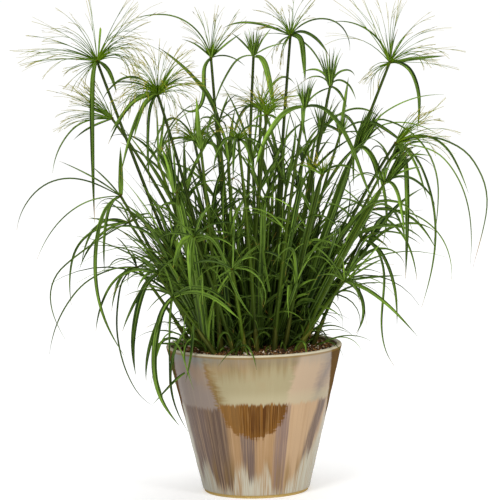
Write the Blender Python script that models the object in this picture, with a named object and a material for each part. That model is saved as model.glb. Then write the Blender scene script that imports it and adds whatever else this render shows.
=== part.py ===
"""Potted papyrus: a glazed clay pot, its potting mix, and a clump of thin stems with leafy heads.

Metres, +Z up. The origin is the centre of the pot's flat underside, +X is the plant's right as seen
from the front, and +Y runs away from the front.

Every stem, leaf, bract and ray has the three-sided section that papyrus and its sedge kin really have. A
head is a small many-faced hub, and each of its bracts and rays grows out of one of the hub's triangles.
"""

import math
from collections import namedtuple

import bmesh
import bpy
import numpy as np
from mathutils import Vector

# The pot
POT_HEIGHT = 0.255
RIM_RADIUS = 0.152
BASE_RADIUS = 0.0915
FOOT_HEIGHT = 0.004
FOOT_INSET = 0.0015
WALL = 0.009
FLOOR_THICKNESS = 0.012
LIP_RADIUS = 0.0035
LIP_STEPS = 6
POT_SIDES = 32

# The potting mix
SOIL_EDGE = 0.246
SOIL_CROWN = 0.251
SOIL_LEVEL_RADIUS = 0.118
GAP = 0.0003

# Stems and hubs
CULM_RADIUS_FOOT = 0.0034
CULM_RADIUS_TOP = 0.0025
CULM_STEPS = 5
CULM_CORNERS = np.radians([90.0, 210.0, 330.0])
HUB_RADIUS_OPEN = 0.0075
HUB_RADIUS_CLOSED = 0.0065
CROWN_RADIUS = 0.011
FEW_BLADES = 10

# Blades: the most length between rings, the keel's depth as a share of the width, and the taper
BLADE_STEP = 0.046
RAY_STEP = 0.070
STEPS_PER_RING = 12
KEEL = 0.30
KEEL_LEAST = 0.0010
TIP_WIDTH = 0.0007
TAPER = 2.6
ROOT_SHARE = 0.72
FULL_WIDTH_AT = 0.2

# Sprays: how far their blades bend down, and how much their lengths differ
RAY_WIDTH = 0.0014
RAY_DROOP = 38.0
TUFT_DROOP = 10.0
EARLY_DROOP = 0.4
LENGTH_SPREAD = 0.10
LENGTH_CYCLE = 2.4
GOLDEN_ANGLE = 137.508

# Room between blades: how clear they keep, and how far one may turn to do so, in degrees
CLEARANCE = 0.0009
RIM_MARGIN = 0.003
SAMPLE_STEP = 0.003
OWN_HUB_REACH = 0.028
TURN_STEP = 3
TURN_LIMIT = 42

# Colours, and the sharpest angle that is still shaded smooth, in degrees
GLAZE = (0.52, 0.44, 0.36)
SOIL_BROWN = (0.045, 0.026, 0.015)
STEM_GREEN = (0.055, 0.105, 0.022)
LEAF_GREEN = (0.085, 0.190, 0.035)
GLAZE_ROUGHNESS = 0.15
SOIL_ROUGHNESS = 0.9
PLANT_ROUGHNESS = 0.5
POT_SMOOTH = 40
SOIL_SMOOTH = 20
CULM_SMOOTH = 80
BLADE_SMOOTH = 50

# Two corners closer than this are one
SAME_POINT = 1e-6

# A blade is a leaf or a bract. Its azimuth is a compass heading in degrees (0 right, 90 away from the
# front, 180 left, 270 to the front). Its slopes are its angles above level at even steps from root to tip
# (90 straight up, -90 straight down), so it bends smoothly through them. Its roll turns its flat side
# about its own length, from 0, facing up, to 90, facing sideways.
Blade = namedtuple("Blade", "azimuth length width slopes roll", defaults=(35,))

# A spray is a set of like blades that fill a cone evenly around one direction.
Spray = namedtuple("Spray", "count length width azimuth slope half_angle droop", defaults=(0.0,))

# A head sits on one stem. Its bow is how much of the stem's lean comes late, near the head.
Head = namedtuple("Head", "name hub foot bow hub_radius blades sprays")


def rays(count, length, azimuth, slope, half_angle):
    """The thread-like rays of an open head."""
    return Spray(count, length, RAY_WIDTH, azimuth, slope, half_angle, RAY_DROOP)


def tuft(count, length, width, azimuth, slope, half_angle):
    """The upright bracts of a head that hasn't opened yet."""
    return Spray(count, length, width, azimuth, slope, half_angle, TUFT_DROOP)


# The tall stems, each with its head as a piece of its own.
TALL = (
    Head("01", (-0.261, 0.030, 0.745), (-0.078, 0.040), -0.03, HUB_RADIUS_OPEN, (
        Blade(20, 0.055, 0.0055, (84, 82), 80),
        Blade(262, 0.300, 0.0065, (-5, -72, -86, -89, -92, -96), 0),
        Blade(322, 0.070, 0.0060, (-15, -60, -76), 20),
        Blade(178, 0.060, 0.0030, (28, 14), 30),
    ), (rays(7, 0.128, 180, 28, 38), rays(5, 0.120, 20, 42, 42), rays(4, 0.080, 240, -6, 34))),
    Head("02", (-0.240, 0.100, 0.640), (-0.064, 0.062), 0.30, HUB_RADIUS_OPEN, (
        Blade(184, 0.158, 0.0032, (8, -14, -48, -66, -84), 30),
        Blade(206, 0.080, 0.0034, (-12, -22, -42), 40),
        Blade(172, 0.060, 0.0045, (35, 18), 40),
    ), (rays(7, 0.112, 180, 30, 34), rays(3, 0.080, 150, 55, 30))),
    Head("03", (-0.154, -0.100, 0.694), (-0.052, -0.030), 0.12, HUB_RADIUS_OPEN, (
        Blade(176, 0.090, 0.0034, (44, 8, -14), 30),
        Blade(190, 0.122, 0.0036, (60, 22, -38, -64), 40),
        Blade(204, 0.096, 0.0056, (8, -46, -56), 50),
        Blade(226, 0.088, 0.0056, (-5, -62, -76), 30),
        Blade(248, 0.172, 0.0042, (-10, -78, -90, -104), 15),
        Blade(40, 0.060, 0.0040, (60, 40), 60),
        Blade(340, 0.055, 0.0036, (45, 20), 60),
    ), (rays(11, 0.084, 165, 70, 88),)),
    Head("04", (-0.066, 0.120, 0.742), (-0.036, 0.045), 0.05, HUB_RADIUS_OPEN, (
        Blade(176, 0.178, 0.0030, (78, 44, 4, -22), 30),
        Blade(215, 0.142, 0.0052, (-10, -86, -92, -60, 10, 42), 30),
        Blade(356, 0.062, 0.0028, (22, -18, -46), 40),
        Blade(12, 0.066, 0.0034, (44, 30), 60),
        Blade(168, 0.060, 0.0030, (52, 12), 40),
    ), (rays(8, 0.088, 90, 82, 48),)),
    Head("05", (0.008, -0.020, 0.752), (-0.018, -0.012), 0.10, HUB_RADIUS_CLOSED, (
        Blade(304, 0.126, 0.0070, (30, -58, -74, -78), 20),
        Blade(206, 0.128, 0.0032, (10, -52, -62, -78), 30),
        Blade(172, 0.052, 0.0030, (56, 36), 50),
        Blade(4, 0.062, 0.0028, (36, 0), 40),
        Blade(24, 0.056, 0.0028, (62, 44), 50),
    ), (tuft(7, 0.050, 0.0036, 0, 86, 20),)),
    Head("06", (0.073, 0.100, 0.780), (0.030, 0.046), 0.10, HUB_RADIUS_OPEN, (
        Blade(316, 0.098, 0.0066, (20, -80, -86, -87), 0),
        Blade(336, 0.104, 0.0028, (-18, -52, -80), 30),
        Blade(182, 0.122, 0.0042, (28, 18, 2, -30), 40),
        Blade(6, 0.146, 0.0032, (52, 22, -12, -58, -94), 30),
        Blade(350, 0.086, 0.0050, (36, -24, -50, -64), 40),
    ), (rays(9, 0.086, 165, 62, 66), rays(3, 0.070, 220, -8, 30))),
    Head("07", (0.028, -0.120, 0.657), (-0.010, -0.050), 0.12, HUB_RADIUS_CLOSED, (
        Blade(310, 0.030, 0.0036, (10, -50), 30),
        Blade(215, 0.032, 0.0036, (10, -50), 30),
    ), (rays(9, 0.060, 40, 66, 44),)),
    Head("08", (0.137, -0.050, 0.700), (0.050, -0.008), 0.06, HUB_RADIUS_CLOSED, (
        Blade(184, 0.062, 0.0036, (74, 50, 2, -34), 40),
        Blade(206, 0.056, 0.0028, (62, 8, -36), 40),
        Blade(2, 0.058, 0.0040, (76, 46, 4, -74), 40),
        Blade(346, 0.064, 0.0032, (62, -16, -60, -75), 40),
        Blade(326, 0.050, 0.0036, (-16, -56, -70), 40),
    ), (tuft(6, 0.068, 0.0046, 110, 86, 14),)),
    Head("09", (0.243, 0.050, 0.733), (0.060, 0.032), 0.05, HUB_RADIUS_OPEN, (
        Blade(354, 0.094, 0.0066, (10, 5, 3), 20),
        Blade(180, 0.140, 0.0034, (76, 48, 18, -14), 30),
        Blade(334, 0.148, 0.0056, (8, -64, -90, -101), 50),
    ), (rays(9, 0.138, 40, 58, 62), rays(4, 0.140, 178, 56, 30), rays(4, 0.080, 205, -8, 30))),
    Head("10", (0.246, -0.060, 0.602), (0.084, -0.026), 0.22, HUB_RADIUS_OPEN, (
        Blade(2, 0.180, 0.0042, (32, 4, -32, -60, -68, -72), 40),
        Blade(352, 0.335, 0.0034, (16, -4, -32, -58, -78, -96, -106, -106), 30),
        Blade(10, 0.282, 0.0026, (-6, -14, -50, -66, -80, -90, -96), 30),
        Blade(336, 0.308, 0.0034, (-14, -62, -74, -86, -97, -105, -110), 30),
        Blade(294, 0.246, 0.0066, (-14, -86, -91, -95, -97), 10),
        Blade(318, 0.118, 0.0034, (-12, -54, -68, -70), 30),
    ), (rays(7, 0.104, 2, 36, 34),)),
    Head("11", (0.175, -0.020, 0.581), (0.066, 0.004), 0.06, HUB_RADIUS_OPEN, (
        Blade(12, 0.350, 0.0032, (68, 62, -16, -35, -55, -75, -92, -97, -100), 30),
        Blade(6, 0.196, 0.0028, (64, 52, 30, 14, -4), 30),
        Blade(20, 0.186, 0.0026, (60, 36, 2, -18, -36), 30),
        Blade(338, 0.158, 0.0056, (80, 68, -28, -36, -82), 50),
        Blade(322, 0.208, 0.0046, (60, -52, -72, -80, -96, -108), 30),
        Blade(306, 0.120, 0.0062, (58, -30, -72, -80), 30),
        Blade(268, 0.090, 0.0046, (44, -66, -96), 20),
    ), (tuft(4, 0.086, 0.0050, 0, 68, 14),)),
    Head("12", (-0.020, -0.200, 0.623), (0.004, -0.080), 0.25, HUB_RADIUS_OPEN, (
        Blade(302, 0.088, 0.0046, (5, -54, -66, -70), 30),
        Blade(194, 0.034, 0.0036, (22, -48), 30),
        Blade(345, 0.058, 0.0034, (76, 40, -8, -36), 40),
        Blade(262, 0.110, 0.0050, (30, -56, -84), 20),
        Blade(232, 0.096, 0.0046, (30, -44, -82), 20),
        Blade(320, 0.060, 0.0036, (20, -50), 30),
    ), (rays(6, 0.045, 90, 70, 70),)),
    Head("13", (-0.0825, -0.160, 0.606), (-0.056, -0.066), 0.10, HUB_RADIUS_CLOSED, (
        Blade(170, 0.084, 0.0070, (80, 88, 90), 80),
        Blade(340, 0.058, 0.0056, (70, -52, -86), 30),
        Blade(215, 0.046, 0.0040, (60, -20), 40),
    ), (tuft(6, 0.038, 0.0046, 0, 88, 30),)),
    Head("14", (-0.126, -0.122, 0.530), (-0.080, -0.040), 0.05, HUB_RADIUS_OPEN, (
        Blade(176, 0.112, 0.0036, (80, 84, 88), 60),
    ), (tuft(5, 0.092, 0.0060, 180, 79, 14),)),
    Head("15", (-0.2225, -0.040, 0.518), (-0.098, -0.008), 0.10, HUB_RADIUS_OPEN, (
        Blade(80, 0.082, 0.0072, (84, 89), 0),
        Blade(172, 0.070, 0.0030, (52, 40), 40),
        Blade(186, 0.120, 0.0030, (40, 30, 24), 40),
        Blade(180, 0.230, 0.0030, (30, 26, 10, -15, -42, -62, -82), 30),
        Blade(192, 0.190, 0.0026, (2, -10, -30, -45, -58, -68), 30),
        Blade(208, 0.302, 0.0056, (-16, -66, -80, -88, -97, -108, -118, -124), 40),
        Blade(240, 0.150, 0.0044, (0, -64, -84, -94), 20),
    ), ()),
    Head("16", (0.0906, -0.200, 0.676), (0.034, -0.066), 0.15, HUB_RADIUS_CLOSED, (
        Blade(196, 0.142, 0.0074, (4, -48, -64, -74), 40),
        Blade(262, 0.066, 0.0062, (24, -80, -90), 10),
        Blade(344, 0.224, 0.0056, (16, -38, -60, -66, -72, -67, -69), 50),
        Blade(10, 0.062, 0.0032, (60, 28, 0), 40),
    ), (tuft(6, 0.052, 0.0042, 90, 86, 18),)),
    Head("17", (0.118, -0.170, 0.560), (0.052, -0.050), 0.10, HUB_RADIUS_CLOSED, (
        Blade(182, 0.046, 0.0034, (38, 24, -4), 40),
        Blade(70, 0.034, 0.0030, (86, 88), 40),
        Blade(350, 0.070, 0.0036, (50, 0, -50), 40),
    ), (rays(8, 0.036, 90, 84, 60),)),
    Head("18", (-0.100, 0.230, 0.590), (-0.044, 0.086), 0.12, HUB_RADIUS_OPEN, (
        Blade(120, 0.200, 0.0045, (50, 10, -40, -70), 30),
        Blade(70, 0.150, 0.0045, (30, -30, -66), 30),
        Blade(160, 0.130, 0.0045, (20, -40, -70), 30),
        Blade(30, 0.100, 0.0040, (50, 0), 30),
    ), (rays(11, 0.084, 110, 68, 84),)),
    Head("19", (0.020, 0.270, 0.640), (0.004, 0.090), 0.16, HUB_RADIUS_OPEN, (
        Blade(86, 0.230, 0.0048, (40, -10, -50, -76, -84), 30),
        Blade(60, 0.150, 0.0044, (60, 20, -40), 30),
        Blade(116, 0.170, 0.0044, (20, -40, -74), 30),
        Blade(10, 0.090, 0.0038, (36, -10), 30),
    ), (rays(11, 0.090, 90, 66, 84),)),
    Head("20", (0.128, 0.220, 0.600), (0.050, 0.092), 0.14, HUB_RADIUS_CLOSED, (
        Blade(60, 0.210, 0.0048, (46, 0, -50, -78), 30),
        Blade(28, 0.140, 0.0042, (56, 10, -46), 30),
        Blade(96, 0.130, 0.0042, (20, -46, -76), 30),
    ), (tuft(5, 0.070, 0.0046, 60, 82, 24),)),
)

# The short shoots, each of one piece with its stem.
SHOOTS = (
    Head("01", (-0.213, 0.060, 0.462), (-0.094, 0.022), 0.10, HUB_RADIUS_CLOSED, (
        Blade(178, 0.276, 0.0034, (-22, -30, -35, -36, -42, -70, -96, -112, -120), 30),
        Blade(190, 0.206, 0.0040, (0, -14, -42, -75, -88, -97), 40),
        Blade(166, 0.072, 0.0044, (8, 2), 30),
        Blade(146, 0.150, 0.0040, (20, -20, -60, -80), 30),
        Blade(210, 0.130, 0.0040, (0, -40, -70), 30),
    ), ()),
    Head("02", (-0.198, -0.020, 0.393), (-0.106, 0.014), 0.05, HUB_RADIUS_CLOSED, (
        Blade(180, 0.235, 0.0030, (8, -15, -30, -50, -60, -72, -82), 30),
        Blade(205, 0.140, 0.0044, (-10, -60, -84), 30),
        Blade(235, 0.110, 0.0040, (10, -50, -80), 30),
        Blade(120, 0.090, 0.0036, (50, 10), 30),
    ), ()),
    Head("03", (-0.161, -0.100, 0.391), (-0.084, -0.064), 0.05, HUB_RADIUS_CLOSED, (
        Blade(188, 0.114, 0.0046, (-14, -58, -70), 40),
        Blade(206, 0.182, 0.0074, (-14, -74, -86, -97), 50),
        Blade(160, 0.060, 0.0036, (50, 20), 30),
        Blade(244, 0.080, 0.0040, (20, -50), 30),
    ), ()),
    Head("04", (-0.134, -0.140, 0.356), (-0.066, -0.094), 0.05, HUB_RADIUS_CLOSED, (
        Blade(192, 0.148, 0.0052, (0, -62, -78, -92), 40),
        Blade(212, 0.238, 0.0080, (-5, -72, -88, -100, -122, -130), 50),
        Blade(264, 0.176, 0.0036, (0, -64, -82, -76), 20),
        Blade(170, 0.050, 0.0036, (40, 10), 30),
    ), ()),
    Head("05", (-0.0965, -0.170, 0.460), (-0.034, -0.090), 0.10, HUB_RADIUS_OPEN, (
        Blade(262, 0.120, 0.0090, (20, -84, -89), 0),
        Blade(222, 0.074, 0.0070, (10, -60, -72), 30),
        Blade(330, 0.160, 0.0048, (50, -20, -64, -70), 40),
        Blade(20, 0.060, 0.0050, (70, 60), 50),
    ), ()),
    Head("06", (-0.034, -0.200, 0.408), (-0.016, -0.102), 0.10, HUB_RADIUS_CLOSED, (
        Blade(290, 0.100, 0.0036, (80, 86), 30),
        Blade(330, 0.068, 0.0036, (46, 34), 40),
        Blade(215, 0.034, 0.0030, (-10, -40), 40),
        Blade(300, 0.034, 0.0030, (-10, -50), 40),
        Blade(160, 0.050, 0.0030, (40, 10), 40),
    ), ()),
    Head("07", (-0.054, 0.030, 0.635), (-0.028, 0.020), 0.05, HUB_RADIUS_CLOSED, (
        Blade(178, 0.168, 0.0062, (78, 56, 44, 34), 50),
        Blade(190, 0.104, 0.0046, (82, 60, 34), 50),
        Blade(150, 0.070, 0.0040, (70, 50), 50),
        Blade(20, 0.050, 0.0040, (70, 66), 50),
        Blade(250, 0.090, 0.0040, (60, -40, -76), 30),
    ), ()),
    Head("08", (0.240, 0.080, 0.560), (0.086, 0.034), 0.10, HUB_RADIUS_CLOSED, (
        Blade(30, 0.090, 0.0040, (46, 20, -20), 40),
        Blade(60, 0.130, 0.0044, (40, -10, -60), 40),
        Blade(330, 0.060, 0.0040, (40, 10), 40),
    ), (tuft(4, 0.040, 0.0046, 10, 52, 16),)),
    Head("09", (0.224, -0.120, 0.540), (0.078, -0.050), 0.10, HUB_RADIUS_CLOSED, (
        Blade(340, 0.110, 0.0042, (40, -30, -70), 40),
        Blade(290, 0.140, 0.0050, (20, -60, -84), 20),
        Blade(10, 0.070, 0.0040, (40, 0), 40),
    ), (tuft(4, 0.070, 0.0050, 0, 58, 12),)),
    Head("10", (0.160, 0.180, 0.6015), (0.054, 0.066), 0.10, HUB_RADIUS_CLOSED, (
        Blade(10, 0.098, 0.0056, (82, 80), 60),
        Blade(40, 0.120, 0.0040, (40, -10, -56), 30),
        Blade(90, 0.110, 0.0040, (30, -30, -66), 30),
    ), (tuft(4, 0.040, 0.0040, 0, 84, 20),)),
    Head("11", (0.154, -0.130, 0.376), (0.070, -0.072), 0.05, HUB_RADIUS_CLOSED, (
        Blade(356, 0.096, 0.0044, (12, 4, 0), 30),
        Blade(14, 0.078, 0.0040, (34, 20), 40),
        Blade(30, 0.098, 0.0040, (38, 40), 40),
        Blade(340, 0.104, 0.0050, (-14, -66, -98, -128), 40),
        Blade(326, 0.166, 0.0052, (-6, -28, -40, -44), 50),
        Blade(290, 0.080, 0.0040, (30, -30, -60), 30),
    ), ()),
    Head("12", (0.203, 0.100, 0.471), (0.084, 0.062), 0.10, HUB_RADIUS_CLOSED, (
        Blade(4, 0.224, 0.0030, (10, -12, -40, -70, -95), 30),
        Blade(350, 0.150, 0.0042, (12, -14, -50, -66), 40),
        Blade(334, 0.162, 0.0036, (-12, -40, -70, -86), 30),
        Blade(50, 0.160, 0.0042, (30, -20, -60, -80), 30),
    ), ()),
    Head("13", (0.186, -0.050, 0.438), (0.100, -0.002), 0.05, HUB_RADIUS_CLOSED, (
        Blade(350, 0.168, 0.0046, (-12, -60, -74, -86, -92), 40),
        Blade(336, 0.238, 0.0034, (-14, -72, -96, -96, -80, -50), 30),
        Blade(14, 0.110, 0.0036, (30, -10, -40), 30),
        Blade(310, 0.070, 0.0036, (20, -40), 30),
    ), ()),
)

# The low clumps of leaves at the soil, between the stems: centre, and the way each one leans.
Clump = namedtuple("Clump", "name centre count length width azimuth slope half_angle droop")
CLUMPS = (
    Clump("left", (-0.058, 0.006), 10, 0.225, 0.0050, 180, 66, 40, 44),
    Clump("middle", (-0.002, 0.020), 10, 0.250, 0.0050, 90, 88, 22, 20),
    Clump("front", (0.012, -0.030), 10, 0.215, 0.0050, 270, 72, 34, 36),
    Clump("right", (0.088, 0.020), 10, 0.205, 0.0046, 0, 60, 36, 44),
    Clump("back", (0.026, 0.078), 10, 0.225, 0.0050, 90, 66, 42, 44),
)


def heading(azimuth, slope):
    """The unit vector along a compass azimuth and a slope above level, both in degrees."""
    az, up = math.radians(azimuth), math.radians(slope)
    return np.array([math.cos(up) * math.cos(az), math.cos(up) * math.sin(az), math.sin(up)])


def blade_width(along, width):
    """The width at shares of a blade's length: full soon after the root, and pointed at the tip."""
    root = ROOT_SHARE + (1.0 - ROOT_SHARE) * np.minimum(1.0, along / FULL_WIDTH_AT)
    return np.maximum(TIP_WIDTH, width * (1.0 - along**TAPER) * root)


def blade_rings(start, blade):
    """Rings of three corners along a blade, with its middle line and half-widths.

    The middle line keeps its azimuth while its slope runs through blade.slopes at an even rate. Each ring
    has the blade's two edges and the keel under its middle.
    """
    steps = max(2, math.ceil(blade.length / (BLADE_STEP if blade.width > RAY_WIDTH else RAY_STEP)))
    fine = STEPS_PER_RING * steps
    stations = np.linspace(0.0, 1.0, len(blade.slopes))
    slopes = np.interp((np.arange(fine) + 0.5) / fine, stations, blade.slopes)
    runs = np.array([heading(blade.azimuth, s) for s in slopes]) * blade.length / fine
    line = start + np.vstack([np.zeros(3), np.cumsum(runs, axis=0)])[::STEPS_PER_RING]
    along = np.linspace(0.0, 1.0, steps + 1)
    widths = blade_width(along, blade.width)
    level = heading(blade.azimuth + 90.0, 0.0)
    turn = math.radians(blade.roll)
    rings = []
    for point, s, width in zip(line[1:], np.interp(along[1:], stations, blade.slopes), widths[1:]):
        forward = heading(blade.azimuth, s)
        up = np.cross(forward, level)
        side = math.cos(turn) * level + math.sin(turn) * up
        under = math.sin(turn) * level - math.cos(turn) * up
        depth = min(width, max(KEEL * width, KEEL_LEAST))
        rings.append(np.array([point + side * width / 2, point - side * width / 2, point + under * depth]))
    return line, widths / 2, rings


def stem_line(head, foot_z, top):
    """The bowed middle line of a stem, from its foot to `top`, as a quadratic curve."""
    foot = np.array([*head.foot, foot_z])
    middle = foot + (top - foot) * (0.5 - head.bow)
    middle[2] = foot_z + (top[2] - foot_z) * 0.5
    t = np.linspace(0.0, 1.0, CULM_STEPS + 1)[:, None]
    return (1 - t) ** 2 * foot + 2 * t * (1 - t) * middle + t**2 * top


def stem_rings(line):
    """Three-cornered rings across a stem's line, level at the foot and square to the line above it."""
    rings = []
    radii = np.linspace(CULM_RADIUS_FOOT, CULM_RADIUS_TOP, len(line))
    directions = np.gradient(line, axis=0)
    directions[0] = (0.0, 0.0, 1.0)
    for point, direction, radius in zip(line, directions, radii):
        forward = direction / np.linalg.norm(direction)
        side = np.cross(forward, (0.0, 1.0, 0.0))
        side /= np.linalg.norm(side)
        up = np.cross(forward, side)
        rings.append(
            np.array([point + radius * (math.cos(a) * side + math.sin(a) * up) for a in CULM_CORNERS])
        )
    return radii, rings


def directions_in_cone(count, azimuth, slope, half_angle):
    """Azimuths and slopes that fill a cone evenly, each a golden angle on from the one before."""
    axis = heading(azimuth, slope)
    level = heading(azimuth + 90.0, 0.0)
    up = np.cross(axis, level)
    for i in range(count):
        off = math.radians(half_angle) * math.sqrt((i + 0.5) / count)
        turn = math.radians(GOLDEN_ANGLE * i)
        across = math.cos(turn) * level + math.sin(turn) * up
        way = math.cos(off) * axis + math.sin(off) * across
        yield math.degrees(math.atan2(way[1], way[0])), math.degrees(math.asin(np.clip(way[2], -1.0, 1.0)))


def spray_blades(spray):
    """The blades of a spray. Those that lean out more also droop more."""
    for i, (azimuth, slope) in enumerate(
        directions_in_cone(spray.count, spray.azimuth, spray.slope, spray.half_angle)
    ):
        fall = spray.droop * math.cos(math.radians(slope))
        length = spray.length * (1.0 - LENGTH_SPREAD + LENGTH_SPREAD * math.sin(LENGTH_CYCLE * i))
        yield Blade(azimuth, length, spray.width, (slope, slope - EARLY_DROOP * fall, slope - fall))


class Room:
    """What is already in place, as points with radii, so that each new blade can keep clear of it."""

    def __init__(self):
        """Starts with nothing in place."""
        self.points = np.empty((0, 3))
        self.radii = np.empty(0)
        self.owners = np.empty(0, dtype=int)
        self.names = []

    def samples(self, line, radii):
        """Points every few millimetres along a line, with the radius at each."""
        lengths = np.linalg.norm(np.diff(line, axis=0), axis=1)
        reach = np.concatenate([[0.0], np.cumsum(lengths)])
        at = np.arange(0.0, reach[-1] + SAMPLE_STEP, SAMPLE_STEP)
        points = np.column_stack([np.interp(at, reach, line[:, k]) for k in range(3)])
        return points, np.interp(at, reach, radii)

    def add(self, name, line, radii):
        """Puts a line with its radii in place, as part of a named node."""
        if name not in self.names:
            self.names.append(name)
        points, widths = self.samples(line, radii)
        self.points = np.vstack([self.points, points])
        self.radii = np.concatenate([self.radii, widths])
        self.owners = np.concatenate([self.owners, np.full(len(points), self.names.index(name))])

    def gap(self, name, hub, line, radii):
        """The least gap from a line to everything else, and to its own node away from its hub."""
        points, widths = self.samples(line, radii)
        own = self.names.index(name) if name in self.names else -1
        near_hub = np.linalg.norm(self.points - hub, axis=1) < OWN_HUB_REACH
        others = ~((self.owners == own) & near_hub)
        apart = np.linalg.norm(points[:, None] - self.points[None, others], axis=2)
        gaps = apart - widths[:, None] - self.radii[None, others]
        mine = np.linalg.norm(points - hub, axis=1) < OWN_HUB_REACH
        own_others = self.owners[others] == own
        gaps[np.ix_(mine, own_others)] = 1.0
        across = np.hypot(points[:, 0], points[:, 1])
        outer = np.interp(points[:, 2], (0.0, POT_HEIGHT), (BASE_RADIUS, RIM_RADIUS))
        low = points[:, 2] < POT_HEIGHT + RIM_MARGIN
        from_pot = np.where(low & ~mine, across - outer - widths, 1.0)
        return min(gaps.min(initial=1.0), from_pot.min())

    def place(self, name, hub, start, blade):
        """The blade, turned by the fewest degrees that keep it clear of what is already there."""
        best, best_gap = blade, -1.0
        for turn in range(0, TURN_LIMIT + 1, TURN_STEP):
            for side in (1, -1) if turn else (1,):
                tried = blade._replace(azimuth=blade.azimuth + side * turn)
                line, radii, _ = blade_rings(start, tried)
                gap = self.gap(name, hub, line, radii)
                if gap > CLEARANCE:
                    self.add(name, line, radii)
                    return tried
                if gap > best_gap:
                    best, best_gap = tried, gap
        line, radii, _ = blade_rings(start, best)
        self.add(name, line, radii)
        return best


def best_shift(face, ring):
    """How far round a ring to start, so that the sides between it and a triangle twist the least."""
    middle = face.calc_center_median()
    corners = [np.array(vert.co - middle) for vert in face.verts]
    spokes = ring - ring.mean(axis=0)

    def agreement(shift):
        return sum(float(corner @ spokes[(i + shift) % 3]) for i, corner in enumerate(corners))

    return max(range(3), key=agreement)


def split_outwards(side, middle):
    """Splits a twisted side along the diagonal that stands further out, so that it never folds inwards."""
    first, second, third, fourth = side.verts

    def reach(pair):
        return ((pair[0].co + pair[1].co) / 2 - middle).length

    bmesh.utils.face_split(side, *max(((first, third), (second, fourth)), key=reach))


def carry(bm, face, rings):
    """Grows a triangle of the mesh through rings of three corners each, and ends in the last one."""
    for ring in rings:
        shift = best_shift(face, ring)
        root = face.calc_center_median()
        face = bmesh.ops.extrude_discrete_faces(bm, faces=[face])["faces"][0]
        for i, vert in enumerate(face.verts):
            vert.co = Vector(ring[(i + shift) % 3])
        middle = (root + face.calc_center_median()) / 2
        for side in [loop.link_loop_radial_next.face for loop in face.loops]:
            split_outwards(side, middle)


class Hub:
    """A small many-faced ball whose triangles each grow one blade or stem."""

    def __init__(self, centre, radius, blade_count):
        """A ball with enough triangles for its blades, all of them free."""
        self.bm = bmesh.new()
        divisions = 2 if blade_count > FEW_BLADES else 1
        bmesh.ops.create_icosphere(self.bm, subdivisions=divisions, radius=radius)
        bmesh.ops.translate(self.bm, vec=Vector(centre), verts=self.bm.verts)
        self.bm.normal_update()
        self.free = [
            (face, np.array(face.normal), np.array(face.calc_center_median())) for face in self.bm.faces
        ]

    def socket(self, way):
        """Takes the free triangle that faces a way best, and gives it with its middle."""
        best = max(self.free, key=lambda entry: float(entry[1] @ way))
        self.free = [entry for entry in self.free if entry is not best]
        return best[0], best[2]

    def grow(self, name, centre, blade, room):
        """Grows one blade where there is room for it."""
        face, start = self.socket(heading(blade.azimuth, blade.slopes[0]))
        placed = room.place(name, centre, start, blade)
        _, _, rings = blade_rings(start, placed)
        carry(self.bm, face, rings)


def material(name, colour, roughness):
    """A plain Principled material."""
    mat = bpy.data.materials.new(name)
    mat.use_nodes = True
    shader = mat.node_tree.nodes["Principled BSDF"]
    shader.inputs["Base Color"].default_value = (*colour, 1.0)
    shader.inputs["Roughness"].default_value = roughness
    shader.inputs["Metallic"].default_value = 0.0
    return mat


def finish_object(name, bm, mat, parent, sharp_degrees):
    """Puts a mesh into the scene as one named object, shaded smooth up to an angle."""
    bmesh.ops.recalc_face_normals(bm, faces=bm.faces)
    mesh = bpy.data.meshes.new(name)
    bm.to_mesh(mesh)
    bm.free()
    mesh.materials.append(mat)
    mesh.shade_smooth()
    mesh.set_sharp_from_angle(angle=math.radians(sharp_degrees))
    obj = bpy.data.objects.new(name, mesh)
    obj.parent = parent
    bpy.context.scene.collection.objects.link(obj)
    return obj


def turned(profile):
    """A closed mesh turned about +Z from (radius, height) points that start and end on the axis."""
    bm = bmesh.new()
    rings = []
    for radius, z in profile:
        sides = POT_SIDES if radius else 1
        turns = [2 * math.pi * i / sides for i in range(sides)]
        rings.append([bm.verts.new((radius * math.cos(a), radius * math.sin(a), z)) for a in turns])
    for low, high in zip(rings, rings[1:]):
        for i in range(POT_SIDES):
            after = i + 1
            corners = (low[i % len(low)], low[after % len(low)], high[after % len(high)], high[i % len(high)])
            bm.faces.new(dict.fromkeys(corners))
    return bm


def outer_radius(z):
    """The pot's outer radius at a height: a straight taper."""
    return BASE_RADIUS + (RIM_RADIUS - BASE_RADIUS) * z / POT_HEIGHT


def inner_radius(z):
    """The pot's inner radius at a height, one wall in from the outer."""
    return outer_radius(z) - WALL


def pot_profile():
    """The pot's outline: foot, straight side, rounded lip, inner wall and floor."""
    low, high = BASE_RADIUS - FOOT_INSET, POT_HEIGHT - LIP_RADIUS
    outline = [(0.0, 0.0), (low, 0.0), (low, FOOT_HEIGHT), (outer_radius(FOOT_HEIGHT), FOOT_HEIGHT)]
    middle = (outer_radius(high) + inner_radius(high)) / 2
    half = (outer_radius(high) - inner_radius(high)) / 2
    for step in range(LIP_STEPS + 1):
        angle = math.pi * step / LIP_STEPS
        outline.append((middle + half * math.cos(angle), high + LIP_RADIUS * math.sin(angle)))
    outline += [(inner_radius(FLOOR_THICKNESS), FLOOR_THICKNESS), (0.0, FLOOR_THICKNESS)]
    return outline


def soil_profile():
    """The potting mix: it fills the pot to a little under the lip and rises slightly in the middle."""
    bottom = FLOOR_THICKNESS + GAP
    return [
        (0.0, bottom),
        (inner_radius(bottom) - GAP, bottom),
        (inner_radius(SOIL_EDGE) - GAP, SOIL_EDGE),
        (SOIL_LEVEL_RADIUS, SOIL_CROWN),
        (0.0, SOIL_CROWN),
    ]


def make_pot(parent):
    """The glazed pot."""
    mat = material("glaze", GLAZE, GLAZE_ROUGHNESS)
    return finish_object("pot", turned(pot_profile()), mat, parent, POT_SMOOTH)


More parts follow.
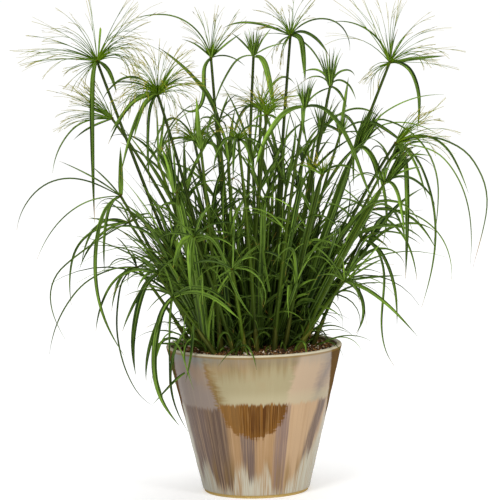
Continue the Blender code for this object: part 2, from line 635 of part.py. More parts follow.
def make_soil(parent):
    """The potting mix inside it."""
    mat = material("potting_mix", SOIL_BROWN, SOIL_ROUGHNESS)
    return finish_object("soil", turned(soil_profile()), mat, parent, SOIL_SMOOTH)


def blades_of(head):
    """Every blade of a head, the long bracts first."""
    found = list(head.blades)
    for spray in head.sprays:
        found += spray_blades(spray)
    return found


def make_culm(head, room, parent, mat):
    """A tall stem on its own: it starts on the soil and ends just under its head's hub."""
    name = f"culm_{head.name}"
    hub = np.array(head.hub)
    line = stem_line(head, SOIL_CROWN + GAP, hub)
    way = (line[-1] - line[-2]) / np.linalg.norm(line[-1] - line[-2])
    line = stem_line(head, SOIL_CROWN + GAP, hub - way * (head.hub_radius + GAP))
    radii, rings = stem_rings(line)
    room.add(name, line, radii)
    bm = bmesh.new()
    first = bm.faces.new([bm.verts.new(corner) for corner in rings[0]])
    bm.normal_update()
    if first.normal.z < 0:
        first.normal_flip()
    lid = bmesh.ops.duplicate(bm, geom=[first])
    under = next(g for g in lid["geom"] if isinstance(g, bmesh.types.BMFace))
    under.normal_flip()
    carry(bm, first, rings[1:])
    bmesh.ops.remove_doubles(bm, verts=bm.verts, dist=SAME_POINT)
    return finish_object(name, bm, mat, parent, CULM_SMOOTH)


def make_head(head, name, fused, room, parent, mat):
    """A hub with all its bracts and rays, and with its stem where the two are one piece."""
    hub = np.array(head.hub)
    blades = blades_of(head)
    ball = Hub(head.hub, head.hub_radius, len(blades))
    if fused:
        line = stem_line(head, SOIL_CROWN + GAP, hub)
        _, rings = stem_rings(line)
        down = line[-2] - line[-1]
        rings = [ring[::-1] for ring in rings[-2::-1]]
        face, _ = ball.socket(down / np.linalg.norm(down))
        carry(ball.bm, face, rings)
    for blade in blades:
        ball.grow(name, hub, blade, room)
    return finish_object(name, ball.bm, mat, parent, BLADE_SMOOTH)


def make_clump(clump, room, parent, mat):
    """A low crown on the soil with its fan of leaves."""
    name = f"leaf_clump_{clump.name}"
    centre = np.array([*clump.centre, SOIL_CROWN + GAP + CROWN_RADIUS])
    ball = Hub(centre, CROWN_RADIUS, clump.count)
    spray = Spray(
        clump.count, clump.length, clump.width, clump.azimuth, clump.slope, clump.half_angle, clump.droop
    )
    for blade in spray_blades(spray):
        ball.grow(name, centre, blade, room)
    return finish_object(name, ball.bm, mat, parent, BLADE_SMOOTH)


def build():
    """Clears the scene, then makes the pot, the mix, the stems, and every head where there is room."""
    for obj in list(bpy.data.objects):
        bpy.data.objects.remove(obj, do_unlink=True)
    plant = bpy.data.objects.new("papyrus", None)
    bpy.context.scene.collection.objects.link(plant)
    make_pot(plant)
    make_soil(plant)
    room = Room()
    stem_green = material("stem_green", STEM_GREEN, PLANT_ROUGHNESS)
    leaf_green = material("leaf_green", LEAF_GREEN, PLANT_ROUGHNESS)
    for head in TALL:
        make_culm(head, room, plant, stem_green)
    for head in TALL:
        room.add(f"umbel_{head.name}", np.array([head.hub, head.hub]), np.full(2, head.hub_radius))
    for head in SHOOTS:
        line = stem_line(head, SOIL_CROWN + GAP, np.array(head.hub))
        room.add(f"shoot_{head.name}", line, np.linspace(CULM_RADIUS_FOOT, head.hub_radius, len(line)))
    for clump in CLUMPS:
        centre = (*clump.centre, SOIL_CROWN + GAP + CROWN_RADIUS)
        room.add(f"leaf_clump_{clump.name}", np.array([centre, centre]), np.full(2, CROWN_RADIUS))
    for head in TALL:
        make_head(head, f"umbel_{head.name}", False, room, plant, leaf_green)
    for head in SHOOTS:
        make_head(head, f"shoot_{head.name}", True, room, plant, leaf_green)
    for clump in CLUMPS:
        make_clump(clump, room, plant, leaf_green)


if __name__ == "__main__":
    build()
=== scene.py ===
"""A potted papyrus: a brush-glazed clay pot, its potting mix, and a clump of stems with feathery heads.

It is laid out as an add-on and is run as a script. Metres, +Z up; -Y is the front, +X the plant's right.
Every stem, leaf, bract and ray is a closed section carried along a curve, worked out as whole numpy arrays.
"""

import math
from collections import namedtuple

import bpy
import numpy as np
from bpy.props import FloatProperty, FloatVectorProperty, IntProperty, PointerProperty
from mathutils import Matrix, Vector


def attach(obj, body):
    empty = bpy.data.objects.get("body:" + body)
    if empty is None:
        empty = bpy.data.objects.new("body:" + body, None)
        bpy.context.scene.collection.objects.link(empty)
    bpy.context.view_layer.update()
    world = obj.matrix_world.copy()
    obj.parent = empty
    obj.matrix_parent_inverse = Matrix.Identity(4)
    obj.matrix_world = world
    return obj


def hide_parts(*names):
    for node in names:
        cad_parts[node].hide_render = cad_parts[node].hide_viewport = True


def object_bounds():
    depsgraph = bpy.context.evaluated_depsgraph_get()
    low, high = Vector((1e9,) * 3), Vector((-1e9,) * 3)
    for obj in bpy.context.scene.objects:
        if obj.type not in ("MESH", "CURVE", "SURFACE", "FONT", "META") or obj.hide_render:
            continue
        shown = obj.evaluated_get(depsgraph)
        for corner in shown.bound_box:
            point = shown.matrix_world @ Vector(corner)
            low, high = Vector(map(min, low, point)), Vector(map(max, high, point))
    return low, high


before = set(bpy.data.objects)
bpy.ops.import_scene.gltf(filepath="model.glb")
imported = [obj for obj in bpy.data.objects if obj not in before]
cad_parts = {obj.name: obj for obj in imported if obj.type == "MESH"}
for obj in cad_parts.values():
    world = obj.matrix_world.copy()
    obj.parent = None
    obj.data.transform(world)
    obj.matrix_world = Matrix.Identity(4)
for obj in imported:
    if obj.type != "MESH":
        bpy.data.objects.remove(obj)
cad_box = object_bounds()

bl_info = {
    "name": "Potted papyrus",
    "version": (1, 0, 0),
    "blender": (4, 5, 0),
    "location": "3D View > Sidebar > Papyrus",
    "description": "Builds the detailed pieces of a potted papyrus around its packed frame",
    "category": "Object",
}

BODY = "root"

# The pot and the potting mix
POT_HEIGHT = 0.255
RIM_RADIUS = 0.152
BASE_RADIUS = 0.0915
FOOT_HEIGHT = 0.004
FOOT_INSET = 0.0015
WALL = 0.009
FLOOR_THICKNESS = 0.012
LIP_RADIUS = 0.0035
SOIL_EDGE = 0.246
SOIL_CROWN = 0.251
SOIL_LEVEL_RADIUS = 0.118
SOIL_LUMPS = 0.0009
GAP = 0.0003
SOFT_EDGE = 0.0008
OUTLINE_SPACING = 0.003

# Stems: the radii at foot and top of a tall one, a short shoot's and a young one, each sheath's height and
# radius, the height at which a stem starts in the mix, and the bow of a plain stalk
CULM_RADII = (0.0034, 0.0023)
SHOOT_RADII = (0.0032, 0.0022)
YOUNG_RADII = (0.0036, 0.0024)
CULM_SHEATHS = ((0.050, 0.0035), (0.030, 0.0041))
SHOOT_SHEATH = (0.05, 0.0042)
ROOTED = SOIL_CROWN - 0.002
STALK_BOW = 0.08

# Heads: the hub's radius of an open and a closed one, how far from the hub its blades and rays start, a ray's
# widths at the hub and at its thinnest, a twig's width, and the droop of a ray in degrees
OPEN, CLOSED = 0.0075, 0.0065
OFF_HUB = 0.002
RAY_WIDTH, THINNEST_RAY, TWIG_WIDTH = 0.0020, 0.00082, 0.0008
RAY_DROOP = 38.0
GOLDEN_ANGLE = 137.508

# The crown: where its leaves spread from, how far from a clump's centre its leaves and its young stems have
# their feet, and how far leaves stay from the pot and inside the frame's box
CROWN_MIDDLE = np.array((0.0, 0.01))
LEAF_REACH, YOUNG_REACH = 0.030, 0.036
POT_CLEARANCE, BOX_CLEARANCE = 0.004, 0.002

# Fans and stalks: how far the fine leaves of a shoot and of a low fan reach, how many leaves a low fan has, and
# how many part from a stalk on its way up
SHOOT_FAN_REACH, LOW_FAN_REACH = 0.115, 0.13
LOW_FAN_LEAVES = 10
SIDE_LEAVES = 8
# No blade is narrower than the first of these, or thicker than wide, or else thinner than the second
NARROWEST_BLADE, BLADE_THICKNESS = 0.0005, 0.0011

# Sections, as points across (side, under), in order round the outline. Side runs from -1 to 1 across the
# blade's width, and under is a share of that width, away from its upper face.
LEAF_SECTION = np.array([
    (-1.0, 0.00), (-0.52, 0.20), (0.0, 0.42), (0.52, 0.20), (1.0, 0.00), (0.55, 0.29), (0.0, 0.56), (-0.55, 0.29),
])
STRAP_SECTION = np.array([(-1.0, 0.0), (0.0, 0.34), (1.0, 0.0), (0.0, 0.48)])
THREAD_SECTION = np.array([(math.cos(a), 0.5 * math.sin(a)) for a in np.radians((90.0, 210.0, 330.0))])


# ---------------------------------------------------------------- curves and sections

def metres(millimetres):
    """Lengths of a table, in metres."""
    return np.array(millimetres) / 1000


def heading(azimuth, slope):
    """Unit vectors: (cos slope cos azimuth, cos slope sin azimuth, sin slope), from degrees."""
    az, up = np.radians(azimuth), np.radians(slope)
    return np.stack([np.cos(up) * np.cos(az), np.cos(up) * np.sin(az), np.sin(up)], axis=-1)


def even_slopes(lists, count):
    """Slope lists of any length, each brought to `count` even steps by straight lines between its own."""
    at = np.linspace(0.0, 1.0, count)
    return np.array([np.interp(at, np.linspace(0.0, 1.0, len(s)), s) for s in lists])


def arched(slope, arch, *shares):
    """Slopes along many blades: each blade's own, less these shares of its arch."""
    return slope[:, None] - np.outer(arch, shares)


def strands(starts, azimuths, slopes, lengths, rings, drift=0.0):
    """Middle lines of many blades at once, with their frames.

    A point's step is heading(azimuth + drift t^2, slope(t)) times the length's share, summed along the
    blade, where t runs from 0 to 1 and slope(t) joins the given slopes by straight lines. Level is the
    azimuth turned a quarter on the flat, and up is forward x level.
    """
    starts, azimuths, slopes, lengths = map(np.asarray, (starts, azimuths, slopes, lengths))
    drift = np.broadcast_to(drift, azimuths.shape)
    fine = 6 * (rings - 1)
    knots = slopes.shape[1] - 1

    def along(t):
        weights = np.maximum(0.0, 1.0 - np.abs(t[:, None] * knots - np.arange(knots + 1)))
        return azimuths[:, None] + drift[:, None] * t**2, slopes @ weights.T

    steps = heading(*along((np.arange(fine) + 0.5) / fine)) * (lengths / fine)[:, None, None]
    sums = np.concatenate([np.zeros_like(steps[:, :1]), np.cumsum(steps, axis=1)], axis=1)
    azimuth, slope = along(np.linspace(0.0, 1.0, rings))
    forward = heading(azimuth, slope)
    level = heading(azimuth + 90.0, 0.0 * slope)
    return starts[:, None] + sums[:, ::6], forward, level, np.cross(forward, level)


def blade_width(t, width, fullness=2.6):
    """Width along a blade: width (1 - t^fullness), a little narrower at the root, and never too narrow."""
    shape = (1.0 - t**fullness) * (0.72 + 0.28 * np.minimum(1.0, 5.0 * t))
    return np.maximum(NARROWEST_BLADE, np.asarray(width)[:, None] * shape)


def tube_faces(ids):
    """The faces between neighbouring rings, from the points' numbers, (..., rings, corners)."""
    after = np.roll(ids, -1, axis=-1)
    corners = ids[..., :-1, :], ids[..., 1:, :], after[..., 1:, :], after[..., :-1, :]
    return np.stack(corners, axis=-1).reshape(-1, 4)


# The faces of an octahedron whose corners are the two ends of each of its three arms in turn
OCTAHEDRON = np.array([(0, 2, 4), (2, 1, 4), (1, 3, 4), (3, 0, 4), (2, 0, 5), (1, 2, 5), (3, 1, 5), (0, 3, 5)])


def octahedron_corners(middle, arms):
    """Six corners of each octahedron: its middle plus and minus each arm."""
    return middle[:, None] + np.stack([arms, -arms], axis=2).reshape(-1, 6, 3)


class Bundle:
    """The growing lists of one piece's points, faces, UVs and fields."""

    def __init__(self):
        self.points, self.uvs, self.shades, self.drys = [], [], [], []
        self.faces, self.slots, self.count = [], [], 0

    def add(self, points, faces, uv, shade, dry, slot):
        """Points (n, 3), faces as arrays of one size each, UVs (n, 2), and shade and dry, (n,) each."""
        self.points.append(points)
        self.uvs.append(uv)
        self.shades.append(np.broadcast_to(shade, len(points)))
        self.drys.append(np.broadcast_to(dry, len(points)))
        for block in faces:
            self.faces.append(block + self.count)
            self.slots.append(np.full(len(block), slot))
        self.count += len(points)

    def add_octahedra(self, corners, faces, uv, shade, slot):
        """Octahedra by their corners, (n, 6, 3), with the faces of one, and a shade for each."""
        numbers = 6 * np.arange(len(corners))[:, None, None]
        self.add(corners.reshape(-1, 3), [(numbers + faces).reshape(-1, 3)], uv, np.repeat(shade, 6), 0.0, slot)

    def sweep(self, section, line, side, under, widths, depths, shade, dry, slot):
        """Carries a closed section along many lines.

        A point is line + side a w/2 + under b d, for the section's points (a, b), the width w and the depth
        d at each ring. The ends are closed by the section's own outline. U is (a + 1)/2 and V is t.
        """
        across = section[:, 0] * 0.5
        grid = (
            line[:, :, None]
            + side[:, :, None] * (across * widths[..., None])[..., None]
            + under[:, :, None] * (section[:, 1] * depths[..., None])[..., None]
        )
        ids = np.arange(grid[..., 0].size).reshape(grid.shape[:3])
        uv = np.empty((*ids.shape, 2))
        uv[..., 0] = (section[:, 0] + 1.0) / 2.0
        uv[..., 1] = np.linspace(0.0, 1.0, ids.shape[1])[None, :, None]
        shade, dry = (np.broadcast_to(np.reshape(given, (-1, 1, 1)), ids.shape).ravel() for given in (shade, dry))
        self.add(grid.reshape(-1, 3), [tube_faces(ids), ids[:, 0], ids[:, -1, ::-1]], uv.reshape(-1, 2), shade, dry,
                 slot)

    def mesh(self, name, materials, sharp_degrees=50.0):
        """One object at the origin of everything added, riding the plant's body."""
        mesh = bpy.data.meshes.new(name)
        points = np.concatenate(self.points)
        mesh.vertices.add(len(points))
        mesh.vertices.foreach_set("co", points.ravel())
        sizes = np.concatenate([np.full(len(block), block.shape[1]) for block in self.faces])
        corners = np.concatenate([block.ravel() for block in self.faces])
        mesh.loops.add(len(corners))
        mesh.loops.foreach_set("vertex_index", corners)
        mesh.polygons.add(len(sizes))
        mesh.polygons.foreach_set("loop_start", np.concatenate([[0], np.cumsum(sizes)[:-1]]))
        mesh.polygons.foreach_set("material_index", np.concatenate(self.slots))
        mesh.update(calc_edges=True)
        layer = mesh.uv_layers.new(name="along")
        layer.data.foreach_set("uv", np.concatenate(self.uvs)[corners].ravel())
        for field, values in (("shade", self.shades), ("dry", self.drys)):
            mesh.attributes.new(field, "FLOAT", "POINT").data.foreach_set("value", np.concatenate(values))
        for material in materials:
            mesh.materials.append(material)
        mesh.shade_smooth()
        mesh.set_sharp_from_angle(angle=math.radians(sharp_degrees))
        piece = bpy.data.objects.new(name, mesh)
        bpy.context.scene.collection.objects.link(piece)
        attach(piece, BODY)
        return piece


def grow_blades(bundle, section, starts, azimuths, slopes, lengths, widths, rolls, rings, shade, dry, slot,
                drift=0.0, twist=0.0, fullness=2.6):
    """Leaves or bracts: strands with the blade's section, rolled about their length by roll + twist t."""
    line, _, level, up = strands(starts, azimuths, slopes, lengths, rings, drift)
    t = np.linspace(0.0, 1.0, rings)
    turn = np.radians(np.asarray(rolls)[:, None] + np.reshape(twist, (-1, 1)) * t)[..., None]
    side = np.cos(turn) * level + np.sin(turn) * up
    under = np.sin(turn) * level - np.cos(turn) * up
    width = blade_width(t, widths, fullness)
    depth = np.minimum(width, np.maximum(width * 0.9, BLADE_THICKNESS))
    bundle.sweep(section, line, side, under, width, depth, shade, dry, slot)


def angles_of(ways):
    """Azimuths and slopes in degrees of vectors of any length."""
    x, y, z = ways.T
    return np.degrees(np.arctan2(y, x)), np.degrees(np.arctan2(z, np.hypot(x, y)))


def cone_directions(count, azimuth, slope, half_angle):
    """Azimuths and slopes that fill a cone evenly: off the axis by half_angle sqrt((i + 1/2)/count), and
    turned about it by a golden angle for each."""
    axis = heading(azimuth, slope)
    level = heading(azimuth + 90.0, 0.0)
    up = np.cross(axis, level)
    i = np.arange(count)
    off = np.radians(half_angle) * np.sqrt((i + 0.5) / count)
    turn = np.radians(GOLDEN_ANGLE * i)
    across = np.cos(turn)[:, None] * level + np.sin(turn)[:, None] * up
    return angles_of(np.cos(off)[:, None] * axis + np.sin(off)[:, None] * across)


def stem_curve(foot, hub, bow, t):
    """Points and unit directions of a stem: a quadratic curve from foot to hub, whose middle point is
    halfway up and short of halfway out by the bow."""
    foot, hub = np.asarray(foot, float), np.asarray(hub, float)
    middle = foot + (hub - foot) * (0.5 - bow)
    middle[2] = (foot[2] + hub[2]) / 2
    t = np.asarray(t)[..., None]
    points = (1 - t) ** 2 * foot + 2 * t * (1 - t) * middle + t**2 * hub
    ways = 2 * (1 - t) * (middle - foot) + 2 * t * (hub - middle)
    return points, ways / np.linalg.norm(ways, axis=-1, keepdims=True)


def square_frame(ways):
    """Side and under vectors square to the ways: side = way x Y, under = side x way."""
    side = np.cross(ways, (0.0, 1.0, 0.0))
    side /= np.linalg.norm(side, axis=-1, keepdims=True)
    return side, np.cross(side, ways)


def ribbed_section(corners, depth):
    """A rounded triangle: radius 1 + depth cos 3a at even angles a. Its second number is halved because a
    sweep's depth is a whole diameter."""
    a = np.linspace(0.0, 2 * math.pi, corners, endpoint=False)
    radius = 1.0 + depth * np.cos(3 * a)
    return np.column_stack([radius * np.cos(a), 0.5 * radius * np.sin(a)])


# ---------------------------------------------------------------- the plant's tables, in millimetres and degrees

# A blade is a leaf or a bract. Its azimuth is a compass heading in degrees (0 right, 90 away from the
# front, 180 left, 270 to the front). Its slopes are its angles above level at even steps from root to tip,
# so it bends smoothly through them. Its roll turns its flat side about its own length. Shade runs from 0,
# deep green, to 1, yellow-green. Dry is the share of its length, from the tip, that has turned brown. A blunt
# blade was cut off.
Blade = namedtuple("Blade", "azimuth length width slopes roll shade dry blunt", defaults=(35, 0.45, 0.0, False))

# A spray is a set of like blades that fill a cone evenly around one direction.
Spray = namedtuple("Spray", "kind count length width azimuth slope half_angle droop")

# A head sits on one stem. Its bow is how much of the stem's lean comes late, near the head. In a table, a head's
# foot has no height, and its blades are rows.
Head = namedtuple("Head", "hub foot bow hub_radius blades sprays")


def rays(count, length, azimuth, slope, half_angle, droop=RAY_DROOP):
    """The thread-like rays of an open head."""
    return Spray("rays", count, length / 1000, RAY_WIDTH, azimuth, slope, half_angle, droop)


def tuft(count, length, width, azimuth, slope, half_angle):
    """The upright bracts of a head that hasn't opened yet."""
    return Spray("tuft", count, length / 1000, width / 1000, azimuth, slope, half_angle, 0.0)


# The tall stems, each with its head as a piece of its own
TALL = (
    ((-261, 30, 745), (-78, 40), -0.03, OPEN, (
        (20, 56, 4.6, (84, 82), 10, 0.80, 0.0, True), (262, 300, 6.5, (-5, -72, -86, -89, -92, -96), 0, 0.35, 0.08),
        (322, 70, 6, (-15, -60, -76), 20), (178, 60, 3, (28, 14), 30),
    ), (
        rays(13, 134, 180, 22, 26), rays(7, 112, 146, 60, 26), rays(28, 140, 6, 36, 32, 60),
        rays(9, 78, 205, -24, 30, 70),
    )),
    ((-240, 100, 640), (-64, 62), 0.30, OPEN, (
        (184, 158, 3.2, (8, -14, -48, -66, -84), 30), (206, 80, 3.4, (-12, -22, -42), 40),
        (172, 60, 4.5, (35, 18), 40),
    ), (rays(26, 114, 180, 27, 32), rays(9, 84, 146, 58, 26))),
    ((-154, -100, 694), (-52, -30), 0.12, OPEN, (
        (176, 90, 3.4, (44, 8, -14), 30), (190, 122, 3.6, (60, 22, -38, -64), 40), (204, 110, 6, (8, -46, -56), 50),
        (226, 96, 6, (-5, -62, -76), 30), (212, 150, 5.6, (-20, -62, -70, -76), 30),
        (196, 128, 4.4, (16, -44, -60, -64), 40), (248, 172, 4.2, (-10, -78, -90, -104), 15),
        (40, 60, 4, (60, 40), 60), (340, 55, 3.6, (45, 20), 60),
    ), (rays(112, 98, 120, 72, 90, 55),)),
    ((-66, 120, 742), (-36, 45), 0.05, OPEN, (
        (176, 178, 3, (78, 44, 4, -22), 30), (215, 142, 6, (-30, -88, -92, -60, 10, 42), 30, 0.75),
        (356, 62, 2.8, (22, -18, -46), 40), (12, 66, 3.4, (44, 30), 60), (168, 60, 3, (52, 12), 40),
    ), (rays(20, 94, 90, 82, 50),)),
    ((8, -20, 752), (-18, -12), 0.10, CLOSED, (
        (304, 126, 8.6, (10, -66, -74, -78), 10, 0.75), (206, 128, 3.2, (10, -52, -62, -78), 30),
        (172, 52, 3, (56, 36), 50), (4, 62, 2.8, (36, 0), 40), (24, 56, 2.8, (62, 44), 50),
    ), (tuft(7, 50, 3.6, 0, 86, 20),)),
    ((73, 100, 780), (30, 46), 0.10, OPEN, (
        (316, 98, 7.6, (20, -80, -86, -87), 30, 0.30), (336, 104, 2.8, (-18, -52, -80), 30),
        (182, 122, 4.2, (28, 18, 2, -30), 40), (6, 146, 3.2, (52, 22, -12, -58, -94), 30),
        (350, 86, 5, (36, -24, -50, -64), 40),
    ), (rays(24, 88, 140, 68, 62), rays(9, 64, 220, -36, 30, 60))),
    ((28, -120, 657), (-10, -50), 0.12, CLOSED, (
        (310, 30, 3.6, (10, -50), 30), (215, 32, 3.6, (10, -50), 30),
    ), (rays(30, 64, 60, 70, 50),)),
    ((137, -50, 700), (50, -8), 0.06, CLOSED, (
        (184, 62, 3.6, (74, 50, 2, -34), 40), (206, 56, 2.8, (62, 8, -36), 40), (2, 58, 4, (76, 46, 4, -74), 40),
        (346, 64, 3.2, (62, -16, -60, -75), 40), (326, 50, 3.6, (-16, -56, -70), 40),
    ), (tuft(6, 68, 4.6, 110, 86, 14),)),
    ((243, 50, 733), (60, 32), 0.05, OPEN, (
        (354, 94, 6.6, (10, 5, 3), 20), (180, 140, 3.4, (76, 48, 18, -14), 30),
        (334, 148, 5.6, (8, -64, -90, -101), 50),
    ), (
        rays(10, 116, 80, 80, 34), rays(15, 130, 8, 26, 34), rays(4, 146, 178, 56, 12),
        rays(9, 76, 205, -30, 32, 60),
    )),
    # The leaves that hang to the right from this head and the next are given lighter shades, as painted light on the
    # plant's right side
    ((246, -60, 602), (84, -26), 0.22, OPEN, (
        (2, 180, 4.2, (32, 4, -32, -60, -68, -72), 40, 0.60),
        (352, 335, 3.4, (22, 12, -4, -22, -30, -56, -64, -78, -94, -102, -105, -106, -106), 30, 0.52, 0.12),
        (10, 282, 2.8, (-6, -14, -50, -66, -80, -90, -96), 30, 0.58),
        (336, 308, 3.6, (-14, -62, -74, -86, -97, -105, -110), 30, 0.58),
        (294, 246, 6.6, (-14, -86, -91, -95, -97), 10), (318, 118, 3.8, (-12, -54, -68, -70), 30, 0.62),
    ), (rays(28, 106, 2, 34, 36),)),
    ((175, -20, 581), (66, 4), 0.06, OPEN, (
        (12, 350, 3.2, (68, 62, -16, -35, -55, -75, -92, -97, -100), 30, 0.58),
        (6, 196, 3, (64, 52, 30, 14, -4), 30, 0.58), (20, 186, 2.8, (60, 36, 2, -18, -36), 30, 0.58),
        (338, 158, 5.6, (80, 68, -28, -36, -82), 50), (322, 208, 4.8, (60, -52, -72, -80, -96, -108), 30, 0.62),
        (306, 120, 6.4, (58, -30, -72, -80), 30, 0.62), (268, 90, 4.6, (44, -66, -96), 20),
    ), (tuft(4, 98, 10.5, 0, 64, 11),)),
    ((-20, -200, 623), (4, -80), 0.25, OPEN, (
        (302, 88, 4.6, (5, -54, -66, -70), 30), (194, 34, 3.6, (22, -48), 30),
        (345, 58, 3.4, (76, 40, -8, -36), 40), (262, 110, 5, (30, -56, -84), 20),
        (232, 96, 4.6, (30, -44, -82), 20), (320, 60, 3.6, (20, -50), 30),
    ), (rays(20, 45, 90, 70, 70),)),
    ((-82.5, -160, 606), (-56, -66), 0.10, CLOSED, (
        (170, 84, 7, (80, 88, 90), 80, 0.6), (340, 58, 5.6, (70, -52, -86), 30, 0.6), (215, 46, 4, (60, -20), 40),
    ), (tuft(6, 38, 4.6, 0, 88, 30),)),
    ((-126, -122, 530), (-80, -40), 0.05, OPEN, (
        (176, 112, 3.6, (80, 84, 88), 60),
    ), (tuft(4, 100, 10.5, 180, 80, 10),)),
    ((-222.5, -40, 518), (-98, -8), 0.10, OPEN, (
        (80, 82, 7.2, (84, 89), 0, 0.7), (172, 70, 3, (52, 40), 40), (186, 120, 3, (40, 30, 24), 40),
        (180, 230, 3, (30, 26, 10, -15, -42, -62, -82), 30), (192, 190, 2.6, (2, -10, -30, -45, -58, -68), 30),
        (208, 302, 5.6, (-16, -66, -80, -88, -97, -108, -118, -124), 40), (240, 150, 4.4, (0, -64, -84, -94), 20),
    ), ()),
    ((90.6, -200, 676), (34, -66), 0.15, CLOSED, (
        (196, 142, 7.4, (4, -48, -64, -74), 40, 0.6), (262, 66, 6.2, (24, -80, -90), 10, 0.6),
        (344, 224, 5.6, (16, -38, -60, -66, -72, -67, -69), 50), (10, 62, 3.2, (60, 28, 0), 40),
    ), (tuft(6, 52, 4.2, 90, 86, 18),)),
    ((118, -170, 560), (52, -50), 0.10, CLOSED, (
        (182, 46, 3.4, (38, 24, -4), 40), (70, 34, 3, (86, 88), 40), (350, 70, 3.6, (50, 0, -50), 40),
    ), (rays(22, 38, 90, 84, 60),)),
    ((-100, 230, 590), (-44, 86), 0.12, OPEN, (
        (120, 200, 4.5, (50, 10, -40, -70), 30), (70, 150, 4.5, (30, -30, -66), 30),
        (160, 130, 4.5, (20, -40, -70), 30), (30, 100, 4, (50, 0), 30),
    ), (rays(44, 90, 110, 68, 84),)),
    ((20, 270, 640), (4, 90), 0.16, OPEN, (
        (86, 230, 4.8, (40, -10, -50, -76, -84), 30), (60, 150, 4.4, (60, 20, -40), 30),
        (116, 170, 4.4, (20, -40, -74), 30), (10, 90, 3.8, (36, -10), 30),
    ), (rays(44, 94, 90, 66, 84),)),
    ((128, 220, 600), (50, 92), 0.14, CLOSED, (
        (60, 210, 4.8, (46, 0, -50, -78), 30), (28, 140, 4.2, (56, 10, -46), 30),
        (96, 130, 4.2, (20, -46, -76), 30),
    ), (tuft(5, 70, 4.6, 60, 82, 24),)),
)

# The short shoots, each of one piece with its stem
SHOOTS = (
    ((-213, 60, 462), (-94, 22), 0.10, CLOSED, (
        (178, 276, 3.4, (-22, -30, -35, -36, -42, -70, -96, -112, -120), 30),
        (190, 206, 4, (0, -14, -42, -75, -88, -97), 40), (166, 72, 4.4, (8, 2), 30),
        (146, 150, 4, (20, -20, -60, -80), 30), (210, 130, 4, (0, -40, -70), 30),
    ), ()),
    ((-198, -20, 393), (-106, 14), 0.05, CLOSED, (
        (180, 235, 3, (8, -15, -30, -50, -60, -72, -82), 30),
        (186, 273, 3.6, (-22, -79, -85, -97, -107, -120, -150), 30, 0.20), (205, 140, 4.4, (-10, -60, -84), 30),
        (235, 110, 4, (10, -50, -80), 30), (120, 90, 3.6, (50, 10), 30),
    ), ()),
    ((-161, -100, 391), (-84, -64), 0.05, CLOSED, (
        (188, 114, 4.6, (-36, -56, -64, -70), 40, 0.25), (200, 182, 7.8, (-26, -68, -76, -82, -92, -100), 50, 0.25),
        (160, 60, 3.6, (50, 20), 30), (244, 80, 4, (20, -50), 30),
    ), ()),
    ((-134, -140, 356), (-66, -94), 0.05, CLOSED, (
        (194, 150, 6, (-46, -64, -70, -80, -92), 40, 0.20),
        (202, 240, 8.2, (-36, -74, -80, -90, -104, -122, -130), 50, 0.30),
        (350, 128, 6.2, (30, -2, -26, -42, -42), 20, 0.85), (356, 110, 5.2, (46, 4, -34, -48), 20, 0.60),
        (264, 176, 3.6, (0, -64, -82, -76), 20), (170, 50, 3.6, (40, 10), 30),
    ), ()),
    ((-96.5, -170, 460), (-34, -90), 0.10, OPEN, (
        (262, 120, 9, (20, -84, -89), 0, 0.6), (222, 74, 7, (10, -60, -72), 30, 0.9),
        (345, 178, 6.2, (24, -52, -72, -70, -60, -48), 20, 0.75), (20, 60, 5, (70, 60), 50),
    ), ()),
    ((-34, -200, 408), (-16, -102), 0.10, CLOSED, (
        (290, 100, 3.6, (80, 86), 30), (330, 68, 3.6, (46, 34), 40), (215, 34, 3, (-10, -40), 40),
        (300, 34, 3, (-10, -50), 40), (160, 50, 3, (40, 10), 40),
    ), ()),
    ((-54, 30, 635), (-28, 20), 0.05, CLOSED, (
        (178, 168, 6.2, (78, 56, 44, 34), 50), (190, 104, 4.6, (82, 60, 34), 50), (150, 70, 4, (70, 50), 50),
        (20, 50, 4, (70, 66), 50), (250, 90, 4, (60, -40, -76), 30),
    ), ()),
    ((240, 80, 560), (86, 34), 0.10, CLOSED, (
        (30, 90, 4, (46, 20, -20), 40), (60, 130, 4.4, (40, -10, -60), 40), (330, 60, 4, (40, 10), 40),
    ), (tuft(4, 56, 8, 10, 52, 12),)),
    ((224, -120, 540), (78, -50), 0.10, CLOSED, (
        (340, 110, 4.2, (40, -30, -70), 40), (290, 140, 5, (20, -60, -84), 20), (10, 70, 4, (40, 0), 40),
    ), (tuft(4, 84, 9.5, 0, 56, 10),)),
    ((160, 180, 601.5), (54, 66), 0.10, CLOSED, (
        (10, 98, 5.6, (82, 80), 60), (40, 120, 4, (40, -10, -56), 30), (90, 110, 4, (30, -30, -66), 30),
    ), (tuft(4, 40, 4, 0, 84, 20),)),
    ((154, -130, 376), (70, -72), 0.05, CLOSED, (
        (356, 96, 4.4, (12, 4, 0), 30), (14, 78, 4, (34, 20), 40), (30, 98, 4, (38, 40), 40),
        (340, 104, 5, (-14, -66, -98, -128), 40), (326, 166, 5.2, (-6, -28, -40, -44), 50, 0.6),
        (290, 80, 4, (30, -30, -60), 30),
    ), ()),
    # The leaves of this shoot and the next are given lighter shades, as painted light on the plant's right side
    ((203, 100, 471), (84, 62), 0.10, CLOSED, (
        (4, 224, 3.2, (10, -12, -40, -70, -95), 30, 0.58), (350, 150, 4.4, (12, -14, -50, -66), 40, 0.60),
        (334, 162, 3.8, (-12, -40, -70, -86), 30, 0.60), (50, 160, 4.2, (30, -20, -60, -80), 30),
    ), ()),
    ((186, -50, 438), (100, -2), 0.05, CLOSED, (
        (350, 168, 4.8, (-12, -60, -74, -86, -92), 40, 0.60),
        (336, 238, 3.6, (-14, -72, -96, -96, -80, -50), 30, 0.60), (14, 110, 3.6, (30, -10, -40), 30),
        (310, 70, 3.6, (20, -40), 30),
    ), ()),
)

